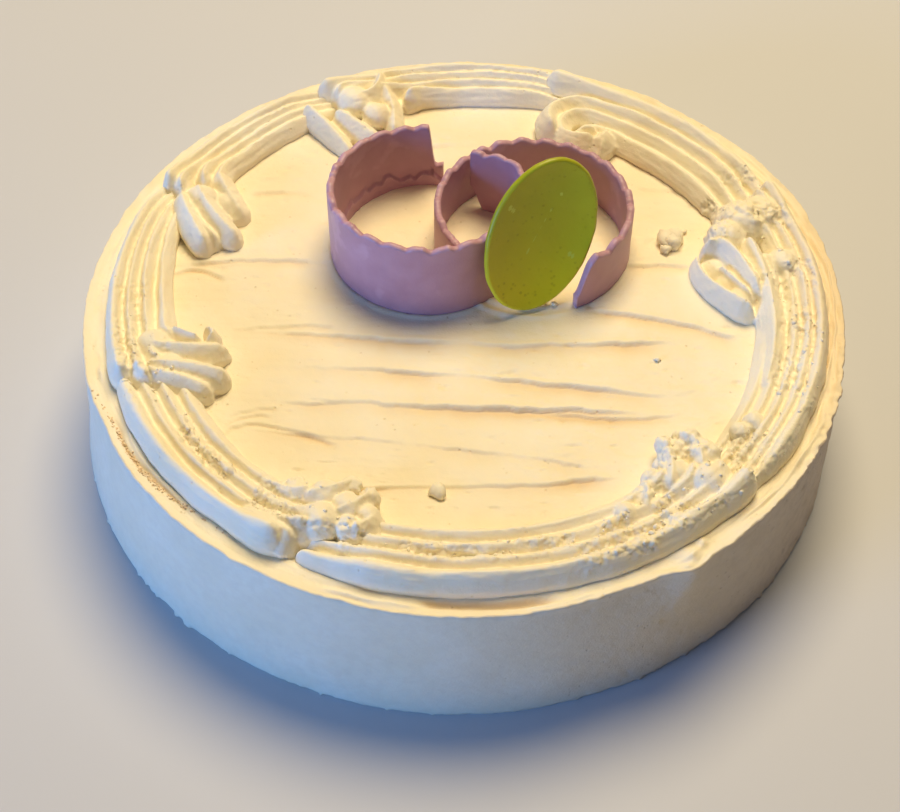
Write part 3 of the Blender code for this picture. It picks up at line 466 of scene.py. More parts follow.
def joined(shapes):
    """Several shapes' points and faces as one: each face's numbers move up by the points before."""
    points, faces, count = [], [], 0
    for place, corners in shapes:
        points.append(place)
        faces.extend(tuple(i + count for i in face) for face in corners)
        count += len(place)
    return np.concatenate(points), faces


def put_mesh(name, points, faces, material, replaces=(), outward=True):
    """A shaded object from arrays of points and faces, riding on the cake."""
    mesh = bpy.data.meshes.new(name)
    mesh.from_pydata(np.asarray(points, float).reshape(-1, 3), [], faces)
    mesh.validate()
    return put_object(name, mesh, material, replaces, outward)


def put_object(name, mesh, material, replaces=(), outward=True):
    """A smooth object of a mesh, with its material and the node that it replaces."""
    if outward:
        bm = bmesh.new()
        bm.from_mesh(mesh)
        bmesh.ops.recalc_face_normals(bm, faces=bm.faces)
        bm.to_mesh(mesh)
        bm.free()
    mesh.shade_smooth()
    mesh.materials.clear()
    mesh.materials.append(material)
    mesh.name = name
    thing = bpy.data.objects.new(name, mesh)
    bpy.context.scene.collection.objects.link(thing)
    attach(thing, "root")
    if replaces:
        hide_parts(*replaces)
    return thing


def put_shade_depth(thing, share):
    """Stores how deep in a mark each point lies, 0..1, for the material's painted shade."""
    thing.data.attributes.new("depth", "FLOAT", "POINT").data.foreach_set("value", share)


# --- shader nodes -----------------------------------------------------------------
class Socket:
    """One output of a shader node; arithmetic on it adds Math nodes."""

    def __init__(self, recipe, output):
        self.recipe, self.output = recipe, output

    def maths(self, operation, *values, clamp=False):
        """A Math node on values, each a number or a socket."""
        inputs = dict(enumerate(values))
        return self.recipe.add("ShaderNodeMath", {"operation": operation, "use_clamp": clamp}, inputs)

    def __add__(self, other):
        return self.maths("ADD", self, other)

    def __sub__(self, other):
        return self.maths("SUBTRACT", self, other)

    def __rsub__(self, other):
        return self.maths("SUBTRACT", other, self)

    def __mul__(self, other):
        return self.maths("MULTIPLY", self, other)

    def __truediv__(self, other):
        return self.maths("DIVIDE", self, other)

    __radd__ = __add__
    __rmul__ = __mul__

    def held(self):
        """Limited to 0..1."""
        return self.maths("ADD", self, 0.0, clamp=True)

    def ramp(self, low, high):
        """0 below low, 1 above high, even between."""
        return ((self - low) / (high - low)).held()

    def sine(self):
        """Its sine, -1..1, so that what grows evenly comes out in bands."""
        return self.maths("SINE", self)


class Recipe:
    """A material's nodes round its Principled BSDF."""

    def __init__(self, name, roughness, **constants):
        self.material = bpy.data.materials.new(name)
        self.material.use_nodes = True
        self.tree = self.material.node_tree
        self.shader = self.tree.nodes["Principled BSDF"]
        self.shader.inputs["Roughness"].default_value = roughness
        for label, value in constants.items():
            self.shader.inputs[label.replace("_", " ")].default_value = value
        self.place = self.add("ShaderNodeTexCoord", {}, {}, "Object")

    def add(self, kind, settings, inputs, output=0):
        """A node of a kind: its settings first, then the values or links of its inputs."""
        node = self.tree.nodes.new(kind)
        for label, value in settings.items():
            setattr(node, label, value)
        for label, value in inputs.items():
            if isinstance(value, Socket):
                self.tree.links.new(value.output, node.inputs[label])
            else:
                node.inputs[label].default_value = value
        return Socket(self, node.outputs[output])

    def noise(self, size, detail=2.0, roughness=0.5, stretch=None):
        """Noise of a size in metres, 0..1; stretch squeezes the pattern along each axis."""
        place = self.place
        if stretch is not None:
            place = self.add("ShaderNodeMapping", {}, {"Vector": place, "Scale": stretch})
        inputs = {"Vector": place, "Scale": 1.0 / size, "Detail": detail, "Roughness": roughness}
        return self.add("ShaderNodeTexNoise", {}, inputs)

    def cells(self, size):
        """Distance to the nearest of scattered points, a size in metres apart."""
        return self.add("ShaderNodeTexVoronoi", {}, {"Vector": self.place, "Scale": 1.0 / size})

    def depth(self):
        """How deep in a mark the surface lies, as stored with the mesh; it sets the painted shade in marks.
        """
        return self.add("ShaderNodeAttribute", {"attribute_name": "depth"}, {}, "Fac")

    def edge(self, low, high):
        """1 along sharp outer edges, 0 on the flat."""
        return self.add("ShaderNodeNewGeometry", {}, {}, "Pointiness").ramp(low, high)

    def axis(self, label):
        """Place along one axis, in metres."""
        return self.add("ShaderNodeSeparateXYZ", {}, {0: self.place}, label)

    def mix(self, share, first, second):
        """Colour between two, each a colour or a link."""
        inputs = {0: share, 6: self.paint(first), 7: self.paint(second)}
        return self.add("ShaderNodeMix", {"data_type": "RGBA"}, inputs, 2)

    @staticmethod
    def paint(colour):
        """A colour as a socket takes it, or a link as it is."""
        return colour if isinstance(colour, Socket) else (*colour, 1.0)

    def finish(self, colour, height, distance, roughness=None, strength=1.0):
        """Links the colour, the bump height and the roughness to the shader."""
        inputs = {"Height": height, "Distance": distance, "Strength": strength}
        bumped = self.add("ShaderNodeBump", {}, inputs)
        self.tree.links.new(bumped.output, self.shader.inputs["Normal"])
        self.tree.links.new(colour.output, self.shader.inputs["Base Color"])
        if roughness is not None:
            self.tree.links.new(roughness.output, self.shader.inputs["Roughness"])
        return self.material


def srgb(red, green, blue):
    """Linear colour of screen values 0..255."""
    share = np.array([red, green, blue]) / 255.0
    linear = np.where(share <= 0.04045, share / 12.92, ((share + 0.055) / 1.055) ** 2.4)
    return tuple(float(v) for v in linear)


def cream_material(name, base, deep, pale, bubble):
    """Whipped cream: soft paler blotches, small air bubbles with painted shade in them, and a fine torn
    grain; also painted shade on the band's right side and in the knife marks and torn hollows. The three
    colours are screen values; deep is the painted shade of the bubbles."""
    r = Recipe(name, 0.5, Subsurface_Weight=0.12, Subsurface_Scale=0.004, Specular_IOR_Level=0.35)
    r.shader.inputs["Subsurface Radius"].default_value = (1.0, 0.72, 0.4)
    cloud = r.noise(0.022, 3.0)
    fine = r.noise(0.0016, 3.0, 0.6)
    grain = r.noise(0.0005, 2.0)
    holes = 1.0 - r.cells(0.0026).ramp(0.05, 0.2)
    chosen = holes * r.noise(0.009).ramp(0.54, 0.64)
    colour = r.mix(cloud.ramp(0.35, 0.7), srgb(*base), srgb(*pale))
    # Painted shade: the chosen bubbles are darkened toward the deep colour, as shade falls in them.
    colour = r.mix((chosen * 0.3).held(), colour, srgb(*deep))
    # Painted shade: past x = 0.1 m the band is darkened to tan, where it turns away from the lamps.
    colour = r.mix(r.axis("X").ramp(0.1, 0.117) * 0.4, colour, srgb(228, 198, 158))
    # Painted shade: knife marks and torn hollows are darkened to a warm brown by how deep they lie.
    colour = r.mix(r.depth() * 0.6, colour, srgb(226, 190, 138))
    height = fine * 0.55 + grain * 0.25 - chosen * bubble
    return r.finish(colour, height, 0.00045, (0.42 + fine * 0.2).held(), 0.6)


def side_material():
    """Spread cream on the wall: fine drag marks round the wall, pits that grow to the right, and painted
    shade that darkens the wall toward the right and in those pits.
    """
    r = Recipe("side_cream", 0.55, Subsurface_Weight=0.1, Subsurface_Scale=0.003, Specular_IOR_Level=0.3)
    r.shader.inputs["Subsurface Radius"].default_value = (1.0, 0.75, 0.45)
    cloud = r.noise(0.018, 3.0)
    drag = r.noise(0.004, 3.0, 0.6, stretch=(1.0, 1.0, 3.0))
    grain = r.noise(0.0007, 3.0, 0.6)
    # Grows toward the right: it deepens the grain and pits there, and also sets painted shade in the
    # colour.
    rough = r.axis("X").ramp(-0.02, 0.1)
    holes = (1.0 - r.cells(0.0024).ramp(0.06, 0.24)) * r.noise(0.009).ramp(0.52, 0.64)
    colour = r.mix(cloud.ramp(0.35, 0.7), srgb(244, 232, 206), srgb(248, 238, 216))
    # Painted shade: the wall darkens toward the right, away from the lamps.
    right_shade = r.axis("X").ramp(0.062, 0.118)
    mottle = r.noise(0.0035, 3.0, 0.6).ramp(0.4, 0.66)
    colour = r.mix((mottle * 0.35).held(), colour, srgb(234, 221, 198))
    # Painted shade: darker and browner toward the right.
    colour = r.mix((rough * 0.5).held(), colour, srgb(218, 197, 176))
    colour = r.mix((right_shade * 0.6).held(), colour, srgb(184, 166, 160))
    # Painted shade in the pits on the right.
    colour = r.mix((holes * rough * 0.4).held(), colour, srgb(166, 142, 112))
    # Dark specks of painted shade on the far right.
    specks = r.noise(0.0035, 4.0, 0.65).ramp(0.45, 0.7)
    colour = r.mix((right_shade * specks * 0.25).held(), colour, srgb(150, 134, 122))
    height = drag * 0.6 + grain * (0.15 + rough * 0.45) - holes * rough * 0.8
    return r.finish(colour, height, 0.0005, (0.48 + grain * 0.18).held(), 0.7)


def lilac_material():
    """Moulded lilac chocolate: cloudy marbling, fine scratches, a pale bloom on worn edges."""
    r = Recipe("lilac_chocolate", 0.4, Specular_IOR_Level=0.4, Subsurface_Weight=0.04,
               Subsurface_Scale=0.002)
    warp = r.noise(0.012, 4.0, 0.6)
    marble = (r.noise(0.02, 3.0, 0.6) * 14.0 + warp * 6.0).sine().ramp(0.5, 1.0)
    cloud = r.noise(0.009, 3.0).ramp(0.35, 0.7)
    worn = (r.edge(0.51, 0.57) * r.noise(0.0025, 2.0).ramp(0.3, 0.6)).held()
    grain = r.noise(0.0008, 3.0, 0.6)
    colour = r.mix(cloud, srgb(188, 144, 162), srgb(199, 156, 174))
    colour = r.mix(marble * 0.4, colour, srgb(216, 176, 196))
    colour = r.mix(worn * 0.6, colour, srgb(226, 196, 208))
    height = grain * 0.3 + r.noise(0.006, 2.0) * 0.7
    return r.finish(colour, height, 0.0004, (0.36 + cloud * 0.14).held(), 0.5)


def green_material():
    """Moulded green chocolate: fine darker specks all over, a brighter rubbed rim, and painted light on the
    dish's lower part.
    """
    r = Recipe("green_chocolate", 0.38, Specular_IOR_Level=0.4, Subsurface_Weight=0.05,
               Subsurface_Scale=0.002)
    specks = 1.0 - r.cells(0.0021).ramp(0.12, 0.3)
    chosen = specks * r.noise(0.009).ramp(0.4, 0.6)
    cloud = r.noise(0.015, 3.0).ramp(0.3, 0.7)
    # Painted light: the lower part of the dish is painted lighter, where the overhead lamp falls into it.
    low = 1.0 - r.axis("Z").ramp(0.052, 0.082)
    colour = r.mix(cloud, srgb(170, 172, 22), srgb(180, 184, 30))
    colour = r.mix(low * 0.8, colour, srgb(222, 216, 36))
    colour = r.mix(chosen * 0.4, colour, srgb(140, 136, 16))
    colour = r.mix(r.edge(0.52, 0.58) * 0.7, colour, srgb(208, 222, 90))
    height = r.noise(0.001, 3.0) * 0.4 - chosen * 0.5
    return r.finish(colour, height, 0.0003, (0.34 + cloud * 0.1).held(), 0.5)


def sponge_material():
    """Baked sponge crumb: golden brown with dark pores."""
    r = Recipe("sponge_crumb", 0.8, Specular_IOR_Level=0.2)
    pores = 1.0 - r.cells(0.0008).ramp(0.1, 0.5)
    tone = r.noise(0.002, 3.0).ramp(0.3, 0.7)
    colour = r.mix(tone, srgb(240, 208, 162), srgb(250, 228, 192))
    colour = r.mix(pores * 0.35, colour, srgb(206, 160, 106))
    return r.finish(colour, pores * -1.0 + tone * 0.4, 0.0004)


def floor_material():
    """Pale matt floor with hardly seen clouds."""
    r = Recipe("pale_floor", 0.7)
    cloud = r.noise(0.25, 3.0)
    colour = r.mix(cloud, srgb(208, 211, 219), srgb(214, 217, 224))
    return r.finish(colour, r.noise(0.01, 2.0), 0.0002, strength=0.2)


# --- spread top --------------------------------------------------------------------
def disc_grid(radius, rows, columns):
    """Square grid pressed into a disc: x is u times the root of 1 - v * v / 2, y is v times the
    root of 1 - u * u / 2. The rows lie closer together towards the front."""
    u = np.linspace(-1.0, 1.0, columns)
    t = np.linspace(-1.0, 1.0, rows)
    v = t + TOP_FRONT_SHARE * (t * t - 1.0)
    v, u = np.meshgrid(v, u, indexing="ij")
    return radius * u * np.sqrt(1.0 - 0.5 * v * v), radius * v * np.sqrt(1.0 - 0.5 * u * u)


def knife_marks(x, y):
    """Each step: full depth just in front of its line, rising again over its run, with a fine
    bead behind the line. The line wanders and fades by noise."""
    flat = places(x, y)
    wander = relief(flat, *KNIFE_WANDER)
    torn = relief(flat * (1.0, 0.3, 1.0), *KNIFE_TORN)
    total = np.zeros_like(x)
    for index, step in enumerate(KNIFE_STEPS):
        x0, x1, y0, y1, bow, depth, run = (value * MM for value in step)
        t = (x - x0) / (x1 - x0)
        line = y0 + (y1 - y0) * t - bow * np.sin(math.pi * np.clip(t, 0.0, 1.0)) + wander
        patch = noise(places(x, y * 0.2, 0.01 * index), KNIFE_PATCH, 40 + index)
        fade = smooth(np.minimum(t, 1.0 - t) / KNIFE_END + 0.08) * (0.62 + 0.5 * patch)
        ahead = line + torn - y
        rise = smooth((ahead - KNIFE_EDGE) / run) ** KNIFE_FALL_POWER
        drop = smooth((ahead + KNIFE_EDGE) / KNIFE_FRONT) * (1.0 - rise)
        bead = KNIFE_BEAD * bump(ahead + KNIFE_BEAD_BACK, KNIFE_FRONT)
        total = total + KNIFE_DEPTH * depth * np.clip(fade, 0.0, 1.2) * (bead - drop)
    return total


def curl_collars(x, y):
    """The cream stands up a little where a curl was pressed in: a bell on both sides of it."""
    total = np.zeros_like(x)
    for centre in (LEFT_CENTRE, RIGHT_CENTRE):
        away = np.hypot(x - centre[0], y - centre[1]) - CURL_RADIUS
        total = total + COLLAR_HEIGHT * bump(np.abs(away) - COLLAR_OUT, COLLAR_WIDTH)
    return total


def top_height(x, y):
    """Height of the spread top: level, plus broad waves, drag streaks along x, a fine grain, small
    pits, patches of smears and blobs, knife marks and the collars at the curls."""
    flat = places(x, y)
    height = TOP_HEIGHT + relief(flat, *TOP_WAVES)
    height = height + relief(flat * (0.12, 1.0, 1.0), *TOP_STREAKS)
    height = height + relief(flat, *TOP_GRAIN)
    height = height - pitted(flat * (0.42, 1.0, 1.0), *TOP_PITS)
    smeared = smooth(noise(flat, SMEAR_PATCH, 29) + 0.3)
    height = height + relief(flat * (0.5, 1.0, 1.0), *TOP_SMEARS) * smeared
    height = height + pitted(flat, *TOP_BLOBS)
    return height + knife_marks(x, y) + curl_collars(x, y)


def make_top(material):
    """The top's grid, a skirt that hangs from its edge and a fan that closes it underneath."""
    x, y = disc_grid(VALLEY_RADIUS + 0.8 * MM, TOP_ROWS, TOP_COLUMNS)
    points = places(x, y, top_height(x, y)).reshape(-1, 3)
    count = len(points)
    number = np.arange(count).reshape(TOP_ROWS, TOP_COLUMNS)
    edge = np.concatenate([number[0, :-1], number[:-1, -1], number[-1, :0:-1], number[:0:-1, 0]])
    ring = count + np.arange(len(edge))
    skirt = places(points[edge, 0], points[edge, 1], SKIN_LOW)
    faces = grid_quads(TOP_ROWS, TOP_COLUMNS).tolist()
    faces.extend(np.stack([edge, np.roll(edge, -1), np.roll(ring, -1), ring], -1).tolist())
    faces.extend(fan(count, len(edge), count + len(edge)))
    points = np.concatenate([points, skirt, [(0.0, 0.0, SKIN_LOW)]])
    thing = put_mesh("cream_top", points, faces, material, ("cake",))
    # Painted shade for the knife marks: how deep each point lies in a mark, stored with the top.
    shade = np.zeros(len(points))
    shade[:count] = np.clip(-knife_marks(x, y) / KNIFE_SHADE_DEPTH, 0.0, 1.0).ravel() ** 1.5
    put_shade_depth(thing, shade)


# --- rim and side ------------------------------------------------------------------
def rim_dent(degrees):
    """How far the wall stands in from a true circle at an angle: the sum of the dents' bells."""
    depth = np.zeros_like(degrees)
    for centre, half_width, amount in RIM_DENTS:
        depth = depth + amount * bump(turn_apart(degrees, centre), half_width)
    return depth


def streak_ring(degrees, height=0.0):
    """Points on the small circle, so that noise on them runs in long streaks round the cake."""
    return places(*polar(STREAK_RADIUS, degrees), height)


def torn_band(degrees, radius):
    """Heights in mm of the torn places on the band: bells in angle and radius, and thin flakes
    whose distance from the axis grows with the angle and wanders by noise."""
    total = np.zeros_like(radius)
    for centre, half_width, distance, depth, height in BAND_TEARS:
        around = bump(turn_apart(degrees, centre), half_width)
        total = total + height * around * bump(radius / MM - distance, depth)
    wander = relief(streak_ring(degrees), *FLAKE_WANDER) / MM
    for start, length, distance, slope, height, half_width in BAND_FLAKES:
        along = turn_apart(degrees, start) / length
        line = distance + slope * along + wander
        share = smooth(along / 0.2) * smooth((1.0 - along) / 0.2)
        total = total + height * share * bump(radius / MM - line, half_width)
    return total


def even_line(corners, step):
    """Points a step apart along a line through corners of (radius, height), in metres."""
    corners = np.array(corners)
    along = np.concatenate([[0.0], np.cumsum(np.hypot(*np.diff(corners, axis=0).T))])
    even = np.linspace(0.0, along[-1], int(along[-1] / step) + 1)
    return np.interp(even, along, corners[:, 0]), np.interp(even, along, corners[:, 1])


def wall_shape(radius, height, degrees):
    """Turns a profile into the uneven wall. Each unevenness is a noise times a mask: dents, waves,
    the rough right side with its pits, a ragged foot, a wavy lip, and the band's grain, streaks and
    tears. Toward the bottom the wall leans to its offset foot."""
    r, a = np.meshgrid(radius, degrees, indexing="ij")
    z = np.meshgrid(height, degrees, indexing="ij")[0]
    x, y = polar(r, a)
    place, around = places(x, y, z), places(x, y)
    outer = smooth((r - VALLEY_RADIUS) / (RIM_RADIUS - BAND_WIDTH - VALLEY_RADIUS))
    upper = smooth((z - 0.45 * RIM_HEIGHT) / (0.5 * RIM_HEIGHT))
    push = -rim_dent(a) * outer * upper
    side = past(r, *SIDE_OUT) * smooth((RIM_HEIGHT - z) / (3.0 * MM))
    rough = 0.10 + 0.90 * near(a, *SIDE_ROUGH)
    push = push + side * relief(place, *SIDE_WAVES)
    push = push + side * rough * (relief(place, *SIDE_GRAIN) - pitted(place, *SIDE_PITS))
    foot = side * smooth(1.0 - z / FOOT_BURR_HEIGHT)
    burr = relief(place * (1.0, 1.0, 0.4), *FOOT_BURR) / MM
    push = push + foot * MM * (0.25 * burr + 0.55 * smooth((burr - 0.6) / 0.5))
    lip = bump(r - (RIM_RADIUS - LIP_BACK), LIP_WIDTH) * past(z, *LIP_UP)
    ragged = 1.6 * near(a, *LIP_RAGGED)
    z = z + lip * (relief(around, *LIP_WAVES) + ragged * relief(around, *LIP_CHIPS))
    push = push + lip * (1.0 + ragged) * relief(around, *LIP_CRUMBLE)
    band = past(r, *BAND_OUT) * (1.0 - lip) * past(z, *BAND_UP)
    streaks = (0.2 + near(a, *BAND_STREAKED)) * relief(streak_ring(a, r), *BAND_STREAKS)
    z = z + band * (relief(around, *BAND_GRAIN) + streaks + MM * torn_band(a, r))
    scale = 1.0 + push / np.maximum(r, 1.0 * MM)
    drop = np.clip(1.0 - z / RIM_HEIGHT, 0.0, 1.0)
    x = x * scale + FOOT_OFFSET[0] * drop
    y = y * scale + FOOT_OFFSET[1] * drop
    return places(x, y, np.maximum(z, 0.0))


def make_wall(top_material, wall_material):
    """Two closed rings that meet at the lip: the band inside it and the side below it."""
    lip = (LIP_RADIUS, RIM_HEIGHT)
    band = (
        (VALLEY_RADIUS - 3.6 * MM, 43.2 * MM),
        (VALLEY_RADIUS - 1.4 * MM, 45.2 * MM),
        (VALLEY_RADIUS + 0.4 * MM, BAND_HEIGHT),
        (RIM_RADIUS - BAND_WIDTH, RIM_HEIGHT - 1.35 * MM),
        (RIM_RADIUS - 3.0 * MM, RIM_HEIGHT - 1.15 * MM),
        (RIM_RADIUS - 1.3 * MM, RIM_HEIGHT - 0.4 * MM),
        lip,
    )
    degrees = np.linspace(0.0, 360.0, BAND_COLUMNS, endpoint=False)
    radius, height = even_line(band, BAND_STEP)
    radius = np.append(radius, (RIM_RADIUS - 2.0 * MM, VALLEY_RADIUS - 3.6 * MM))
    height = np.append(height, (SKIN_MIDDLE, SKIN_LOW))
    points = wall_shape(radius, height, degrees)
    faces = grid_quads(len(radius), BAND_COLUMNS, wrap_rows=True, wrap_columns=True).tolist()
    thing = put_mesh("cream_band", points, faces, top_material, ("cake",))
    # Painted shade for the band's torn hollows: how deep each point lies in them.
    distance, angle = np.meshgrid(radius, degrees, indexing="ij")
    put_shade_depth(thing, 0.8 * np.clip(-torn_band(angle, distance), 0.0, 1.0).ravel())

    side = (
        lip,
        (RIM_RADIUS, RIM_HEIGHT - 0.6 * MM),
        (RIM_RADIUS - 0.2 * MM, RIM_HEIGHT - 3.0 * MM),
        (RIM_RADIUS + 0.6 * MM, RIM_HEIGHT * 0.5),
        (FOOT_RADIUS - 1.2 * MM, 7.0 * MM),
        (FOOT_RADIUS - 0.4 * MM, 1.6 * MM),
        (FOOT_RADIUS - 0.8 * MM, 0.0),
    )
    degrees = np.linspace(0.0, 360.0, WALL_COLUMNS, endpoint=False)
    radius, height = even_line(side, WALL_STEP)
    radius = np.concatenate([[SIDE_INNER, RIM_RADIUS - 4.0 * MM], radius, [SIDE_INNER]])
    height = np.concatenate([[SIDE_LOW, SKIN_MIDDLE], height, [0.0]])
    rings = wall_shape(radius, height, degrees)
    points, faces = with_poles(rings, [(0.0, 0.0, SIDE_LOW), (0.0, 0.0, 0.0)])
    put_mesh("cream_side", points, faces, wall_material, ("cake",))


# --- piped border --------------------------------------------------------------------
def ridge_path(swag, k):
    """Plan line of ridge k from its tail to its nose, with its distance along, in metres: an arc
    whose radius changes softly, then a bend inward, the heading growing with the distance."""
    start, turn, bend, reach = swag["ridges"][k]
    across = (k + 0.6) / len(swag["ridges"])
    tail_radius = BORDER_OUTER - across * (BORDER_OUTER - swag["tail_inner"] * MM)
    head_radius = BORDER_OUTER - across * (BORDER_OUTER - swag["head_inner"] * MM)
    t = np.linspace(0.0, 1.0, PATH_POINTS)
    radius = tail_radius + (head_radius - tail_radius) * smooth(t)
    x, y = polar(radius, swag["tail"] + (start - swag["tail"]) * t)
    turn, bend, reach = math.radians(turn), bend * MM, reach * MM
    s = np.linspace(0.0, turn * bend + reach, PATH_POINTS)[1:]
    heading = math.atan2(y[-1] - y[-2], x[-1] - x[-2]) + np.minimum(s / bend, turn)
    step = np.diff(np.concatenate([[0.0], s]))
    x = np.concatenate([x, x[-1] + np.cumsum(np.cos(heading) * step)])
    y = np.concatenate([y, y[-1] + np.cumsum(np.sin(heading) * step)])
    along = np.concatenate([[0.0], np.cumsum(np.hypot(np.diff(x), np.diff(y)))])
    even = np.linspace(0.0, along[-1], int(along[-1] / PATH_STEP) + 2)
    return np.interp(even, along, x), np.interp(even, along, y), even


def pinched_tube(x, y, half_width, low, crest, end, crest_power=CREST_POWER):
    """Closed tube along a plan line: nearly upright flanks, drawn up to a narrow crest. Across the
    top the height falls by a power of the share of the half width."""
    heading = np.arctan2(np.gradient(y), np.gradient(x))
    ring = np.arange(RING_SIDES) * math.tau / RING_SIDES
    across, up = np.cos(ring), np.sin(ring)
    power = 1.0 - (1.0 - FLANK_POWER) * end[:, None]
    flank = np.sign(across) * np.abs(across) ** power
    side = np.where(up < 0.0, flank, across)
    lift = np.where(up > 0.0, 1.0 - np.abs(across) ** crest_power, up)
    half_height = 0.5 * (crest - low)
    px = x[:, None] - np.sin(heading)[:, None] * half_width[:, None] * side
    py = y[:, None] + np.cos(heading)[:, None] * half_width[:, None] * side
    pz = low + half_height[:, None] * (1.0 + lift)
    return places(px, py, pz)


def rounded_end(distance, length):
    """0 at an end, 1 from a length on, along a quarter circle."""
    return np.sqrt(np.clip(1.0 - (1.0 - distance / length).clip(0.0, 1.0) ** 2, 0.02, 1.0))


def wobble(along, seed, size):
    """Noise along a line, with its own seed."""
    return fractal(places(along, 0.0), size, 2, 100 + seed)


def ridge_tube(swag, k, seed):
    """Ridge k of a swag: it widens from its tail, stands higher at the head and ends rounded."""
    x, y, along = ridge_path(swag, k)
    inner = 0.5 * (swag["tail_inner"] + swag["head_inner"]) * MM
    width = max((BORDER_OUTER - inner) / len(swag["ridges"]), RIDGE_LEAST_WIDTH)
    from_nose = along[-1] - along
    head = 1.0 - smooth(from_nose / HEAD_LENGTH)
    nose = rounded_end(from_nose, NOSE_LENGTH)
    tip = rounded_end(along, TIP_LENGTH)
    swell = 1.0 + NOSE_SWELL * bump(from_nose - SWELL_BACK, SWELL_LENGTH)
    tail = TAIL_WIDTH + (1.0 - TAIL_WIDTH) * smooth(along / TAIL_LENGTH)
    half_width = RIDGE_OVERLAP * width * (1.0 + HEAD_WIDENING * head) * swell * nose * tip * tail
    half_width = half_width * (1.0 + WIDTH_WAVER * wobble(along, seed, WIDTH_WAVE))
    low = RIDGE_BASE - RIDGE_DEPTH
    full = RIDGE_TOP - k * RIDGE_FALL + HEAD_RISE * head * (0.2 + 0.8 * nose)
    full = full + CREST_WAVER * wobble(along, seed + 50, CREST_WAVE)
    crest = low + (full - low) * (END_CREST + (1.0 - END_CREST) * nose * tip * tail)
    power = OUTER_CREST_POWER if k == 0 else CREST_POWER
    return pinched_tube(x, y, half_width, low, crest, nose * tip, power)


def through_three(first, middle, last, t):
    """Values along the parabola that passes three values at t = 0, 0.5 and 1."""
    control = 2.0 * middle - 0.5 * (first + last)
    return first * (1.0 - t) ** 2 + 2.0 * control * t * (1.0 - t) + last * t ** 2


def fold_tube(fold):
    """A fold of a head: a pinched tube with rounded ends on a bowed line through three places."""
    a0, r0, a1, r1, a2, r2, w0, w1, w2, z0, z1, z2 = fold
    spots = np.array([polar(r * MM, a) for a, r in ((a0, r0), (a1, r1), (a2, r2))])
    length = np.linalg.norm(spots[1] - spots[0]) + np.linalg.norm(spots[2] - spots[1])
    t = np.linspace(0.0, 1.0, int(length / PATH_STEP) + 2)
    x, y = (through_three(*spots[:, axis], t) for axis in (0, 1))
    end = rounded_end(length * np.minimum(t, 1.0 - t), FOLD_END)
    half_width = through_three(w0, w1, w2, t) * MM * end
    low = RIDGE_BASE - RIDGE_DEPTH
    crest = low + (through_three(z0, z1, z2, t) * MM - low) * (FOLD_CREST + (1.0 - FOLD_CREST) * end)
    return pinched_tube(x, y, half_width, low, crest, end)


def lump_ball(lump):
    """Rounded lump on a head: angle, distance from the axis, radius and height of its top, mm."""
    degrees, distance, radius, top = lump
    bm = bmesh.new()
    bmesh.ops.create_icosphere(bm, subdivisions=3, radius=radius * MM)
    x, y = polar(distance * MM, degrees)
    bmesh.ops.translate(bm, verts=bm.verts, vec=(float(x), float(y), (top - radius) * MM))
    points = np.array([tuple(v.co) for v in bm.verts])
    faces = [tuple(v.index for v in f.verts) for f in bm.faces]
    bm.free()
    return points, faces


def torn_share(points):
    """0..1: how torn and crumbly the cream is at each point: the highest strength of the torn
    places it lies in, each fading over its borders."""
    degrees = np.degrees(np.arctan2(points[:, 1], points[:, 0]))
    radius = np.hypot(points[:, 0], points[:, 1]) / MM
    fade_turn, fade_out = TORN_EDGE
    share = np.zeros(len(points))
    for start, end, inner, outer, strength in TORN:
        middle, half = 0.5 * (start + end), 0.5 * (end - start)
        around = smooth((half - np.abs(turn_apart(degrees, middle))) / fade_turn + 0.5)
        across = smooth((radius - inner) / fade_out + 0.5) * smooth((outer - radius) / fade_out + 0.5)
        share = np.maximum(share, strength * around * across)
    return share


def unrolled(points, middle):
    """Points unrolled round the axis and squeezed lengthwise, so that noise on them runs in long
    streaks along the border: angle times a short radius, distance from the axis, height."""
    angle = np.radians(turn_apart(np.degrees(np.arctan2(points[:, 1], points[:, 0])), middle))
    return places(angle * STREAK_RADIUS, np.hypot(points[:, 0], points[:, 1]), points[:, 2])


def evaluated_mesh(thing):
    """The mesh that a thing's modifiers give; the thing itself is removed."""
    bpy.context.view_layer.update()
    mesh = bpy.data.meshes.new_from_object(thing.evaluated_get(bpy.context.evaluated_depsgraph_get()))
    bpy.data.objects.remove(thing, do_unlink=True)
    return mesh


def fused(points, faces):
    """One outer skin round overlapping shapes, rebuilt from small cubes of space."""
    rough = bpy.data.meshes.new("rough_swag")
    rough.from_pydata(points, [], faces)
    thing = bpy.data.objects.new("rough_swag", rough)
    bpy.context.scene.collection.objects.link(thing)
    remesh = thing.modifiers.new("fuse", "REMESH")
    remesh.mode = "VOXEL"
    remesh.voxel_size = BORDER_VOXEL
    return evaluated_mesh(thing)


def read_points(mesh):
    """Places of a mesh's points and the directions that they face."""
    place = np.empty(len(mesh.vertices) * 3)
    mesh.vertices.foreach_get("co", place)
    facing = np.empty(len(mesh.vertices) * 3)
    mesh.vertices.foreach_get("normal", facing)
    return place.reshape(-1, 3), facing.reshape(-1, 3)


